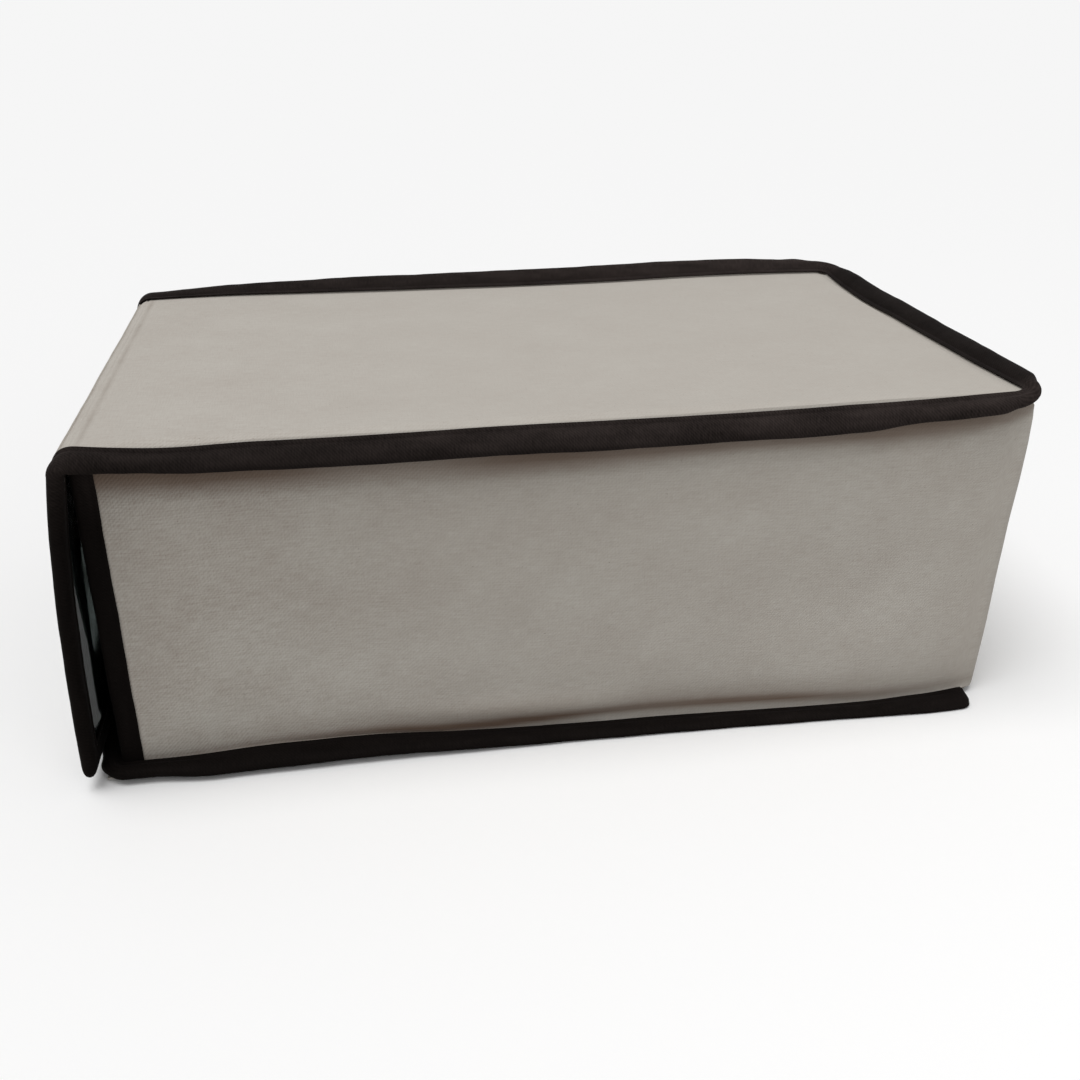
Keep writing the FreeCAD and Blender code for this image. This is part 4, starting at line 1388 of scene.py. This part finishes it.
class SHOEBOX_OT_boards(bpy.types.Operator):
    """Makes the card boards that stiffen the case and the flap"""
    bl_idname = "shoebox.boards"
    bl_label = "Boards"

    def execute(self, context):
        for node in ("top_board", "bottom_board", "near_side_board", "far_side_board", "back_board"):
            low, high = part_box(node)
            if node == "top_board":
                low.x += BOARD_FRONT_GAP / MM
                high.x -= BOARD_BACK_GAP / MM
            deselect_all()
            bpy.ops.mesh.primitive_cube_add(size=1, location=(low + high) / 2, scale=high - low)
            bpy.ops.object.transform_apply(location=True, rotation=False, scale=True)
            board = context.object
            board.name = "card_" + node
            bpy.ops.object.modifier_add(type="BEVEL")
            soft = board.modifiers[-1]
            soft.width = 0.4 / MM
            soft.segments = 3
            bpy.ops.object.modifier_apply(modifier=soft.name)
            bpy.ops.object.shade_smooth_by_angle(angle=math.radians(50))
            dress(board, material_of(grey_board))
            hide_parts(node)
            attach(board, "case")
        return {"FINISHED"}


# Stage

# The camera was fitted to the corners of the box in the photograph: its place in millimetres behind
# the fold line, aside and up, and its angles in degrees
CAMERA_PLACE = (91.2, -462.5, 259.3)
CAMERA_DOWN = 25.53
CAMERA_TURN = -9.44
CAMERA_ROLL = -0.17
CAMERA_LENS = 39.03


def seen_directly(tree):
    """1 for what the camera sees straight or mirrored, 0 for light that falls on things."""
    path = add_node(tree, "ShaderNodeLightPath").outputs
    return work_out(tree, "MAXIMUM", path["Is Camera Ray"], path["Is Glossy Ray"])


def floor_material():
    """Plain pale paper floor that the camera sees as white and that keeps the box's shadow."""
    material, tree, _ = new_material("pale_paper_floor", "Object")
    finish_surface(tree, {"Roughness": 1.0, "Specular IOR Level": 0.0},
                   mixed(tree, seen_directly(tree), settings("studio").floor, "#FFFFFF"))
    return material


def room_light():
    """Even light from all round, which the camera sees as white."""
    world = bpy.data.worlds.new("soft_room")
    world.use_nodes = True
    tree = world.node_tree
    background = tree.nodes["Background"]
    level = ranged(tree, seen_directly(tree), 0.0, 1.0, settings("studio").sky, 1.0)
    tree.links.new(level, background.inputs["Strength"])
    background.inputs["Color"].default_value = (1, 1, 1, 1)
    bpy.context.scene.world = world


class SHOEBOX_OT_stage(bpy.types.Operator):
    """Sets the camera, the floor and the lamps"""
    bl_idname = "shoebox.stage"
    bl_label = "Stage"

    def execute(self, context):
        deselect_all()
        bpy.ops.mesh.primitive_plane_add(size=60, location=(0, 0, -0.0002))
        floor = bpy.context.object
        floor.name = "floor"
        floor.data.materials.append(floor_material())
        bpy.ops.object.light_add(type="SUN", location=(-0.4, 0.2, 1.5))
        key = bpy.context.object
        key.name = "key_lamp"
        key.data.energy = settings("studio").key
        key.data.angle = math.radians(42)
        key.rotation_euler = Vector((-0.25, -0.15, 1.0)).to_track_quat("Z", "Y").to_euler()
        bpy.ops.object.light_add(type="AREA", location=(0.32, -0.75, 0.42))
        fill = bpy.context.object
        fill.name = "side_lamp"
        fill.data.shape = "DISK"
        fill.data.size = 0.5
        fill.data.energy = settings("studio").side
        aim = Vector((0.12, 0, 0.06)) - fill.location
        fill.rotation_euler = aim.to_track_quat("-Z", "Y").to_euler()
        room_light()
        view = bpy.data.cameras.new("camera")
        camera = bpy.data.objects.new("camera", view)
        bpy.context.scene.collection.objects.link(camera)
        view.sensor_width = 36
        view.lens = CAMERA_LENS
        view.clip_start = 0.01
        view.clip_end = 100
        down = math.radians(90 - CAMERA_DOWN)
        turn = math.radians(CAMERA_TURN)
        roll = math.radians(CAMERA_ROLL)
        facing = Matrix.Rotation(turn, 4, "Z") @ Matrix.Rotation(down, 4, "X")
        facing = facing @ Matrix.Rotation(roll, 4, "Z")
        behind, aside, up = CAMERA_PLACE
        place = Vector((FOLD_LINE + behind, aside, up)) / MM
        camera.matrix_world = Matrix.Translation(place) @ facing
        bpy.context.scene.camera = camera
        bpy.context.scene.view_settings.view_transform = "Standard"
        return {"FINISHED"}


class SHOEBOX_PT_panel(bpy.types.Panel):
    """Lists the steps that make the shoe box"""
    bl_idname = "SHOEBOX_PT_panel"
    bl_label = "Shoe box"
    bl_space_type = "VIEW_3D"
    bl_region_type = "UI"
    bl_category = "Shoe box"

    def draw(self, context):
        for step in steps:
            self.layout.operator(step.bl_idname)
        for group in setting_groups:
            values = settings(group)
            box = self.layout.box()
            for name in values.bl_rna.properties.keys():
                if name not in ("rna_type", "name"):
                    box.prop(values, name)


setting_groups = {"canvas": CanvasSettings, "tape": TapeSettings, "flap": FlapSettings,
                  "studio": StudioSettings}
steps = (SHOEBOX_OT_stage, SHOEBOX_OT_boards, SHOEBOX_OT_case_canvas, SHOEBOX_OT_lining,
         SHOEBOX_OT_case_tapes, SHOEBOX_OT_fold, SHOEBOX_OT_flap, SHOEBOX_OT_stitches)


def register():
    for group, owner in setting_groups.items():
        bpy.utils.register_class(owner)
        setattr(bpy.types.Scene, "shoe_box_" + group, bpy.props.PointerProperty(type=owner))
    for step in steps:
        bpy.utils.register_class(step)
    bpy.utils.register_class(SHOEBOX_PT_panel)


def unregister():
    bpy.utils.unregister_class(SHOEBOX_PT_panel)
    for step in reversed(steps):
        bpy.utils.unregister_class(step)
    for group, owner in setting_groups.items():
        delattr(bpy.types.Scene, "shoe_box_" + group)
        bpy.utils.unregister_class(owner)


def main():
    register()
    for step in steps:
        family, action = step.bl_idname.split(".")
        getattr(getattr(bpy.ops, family), action)()


if __name__ == "__main__":
    main()
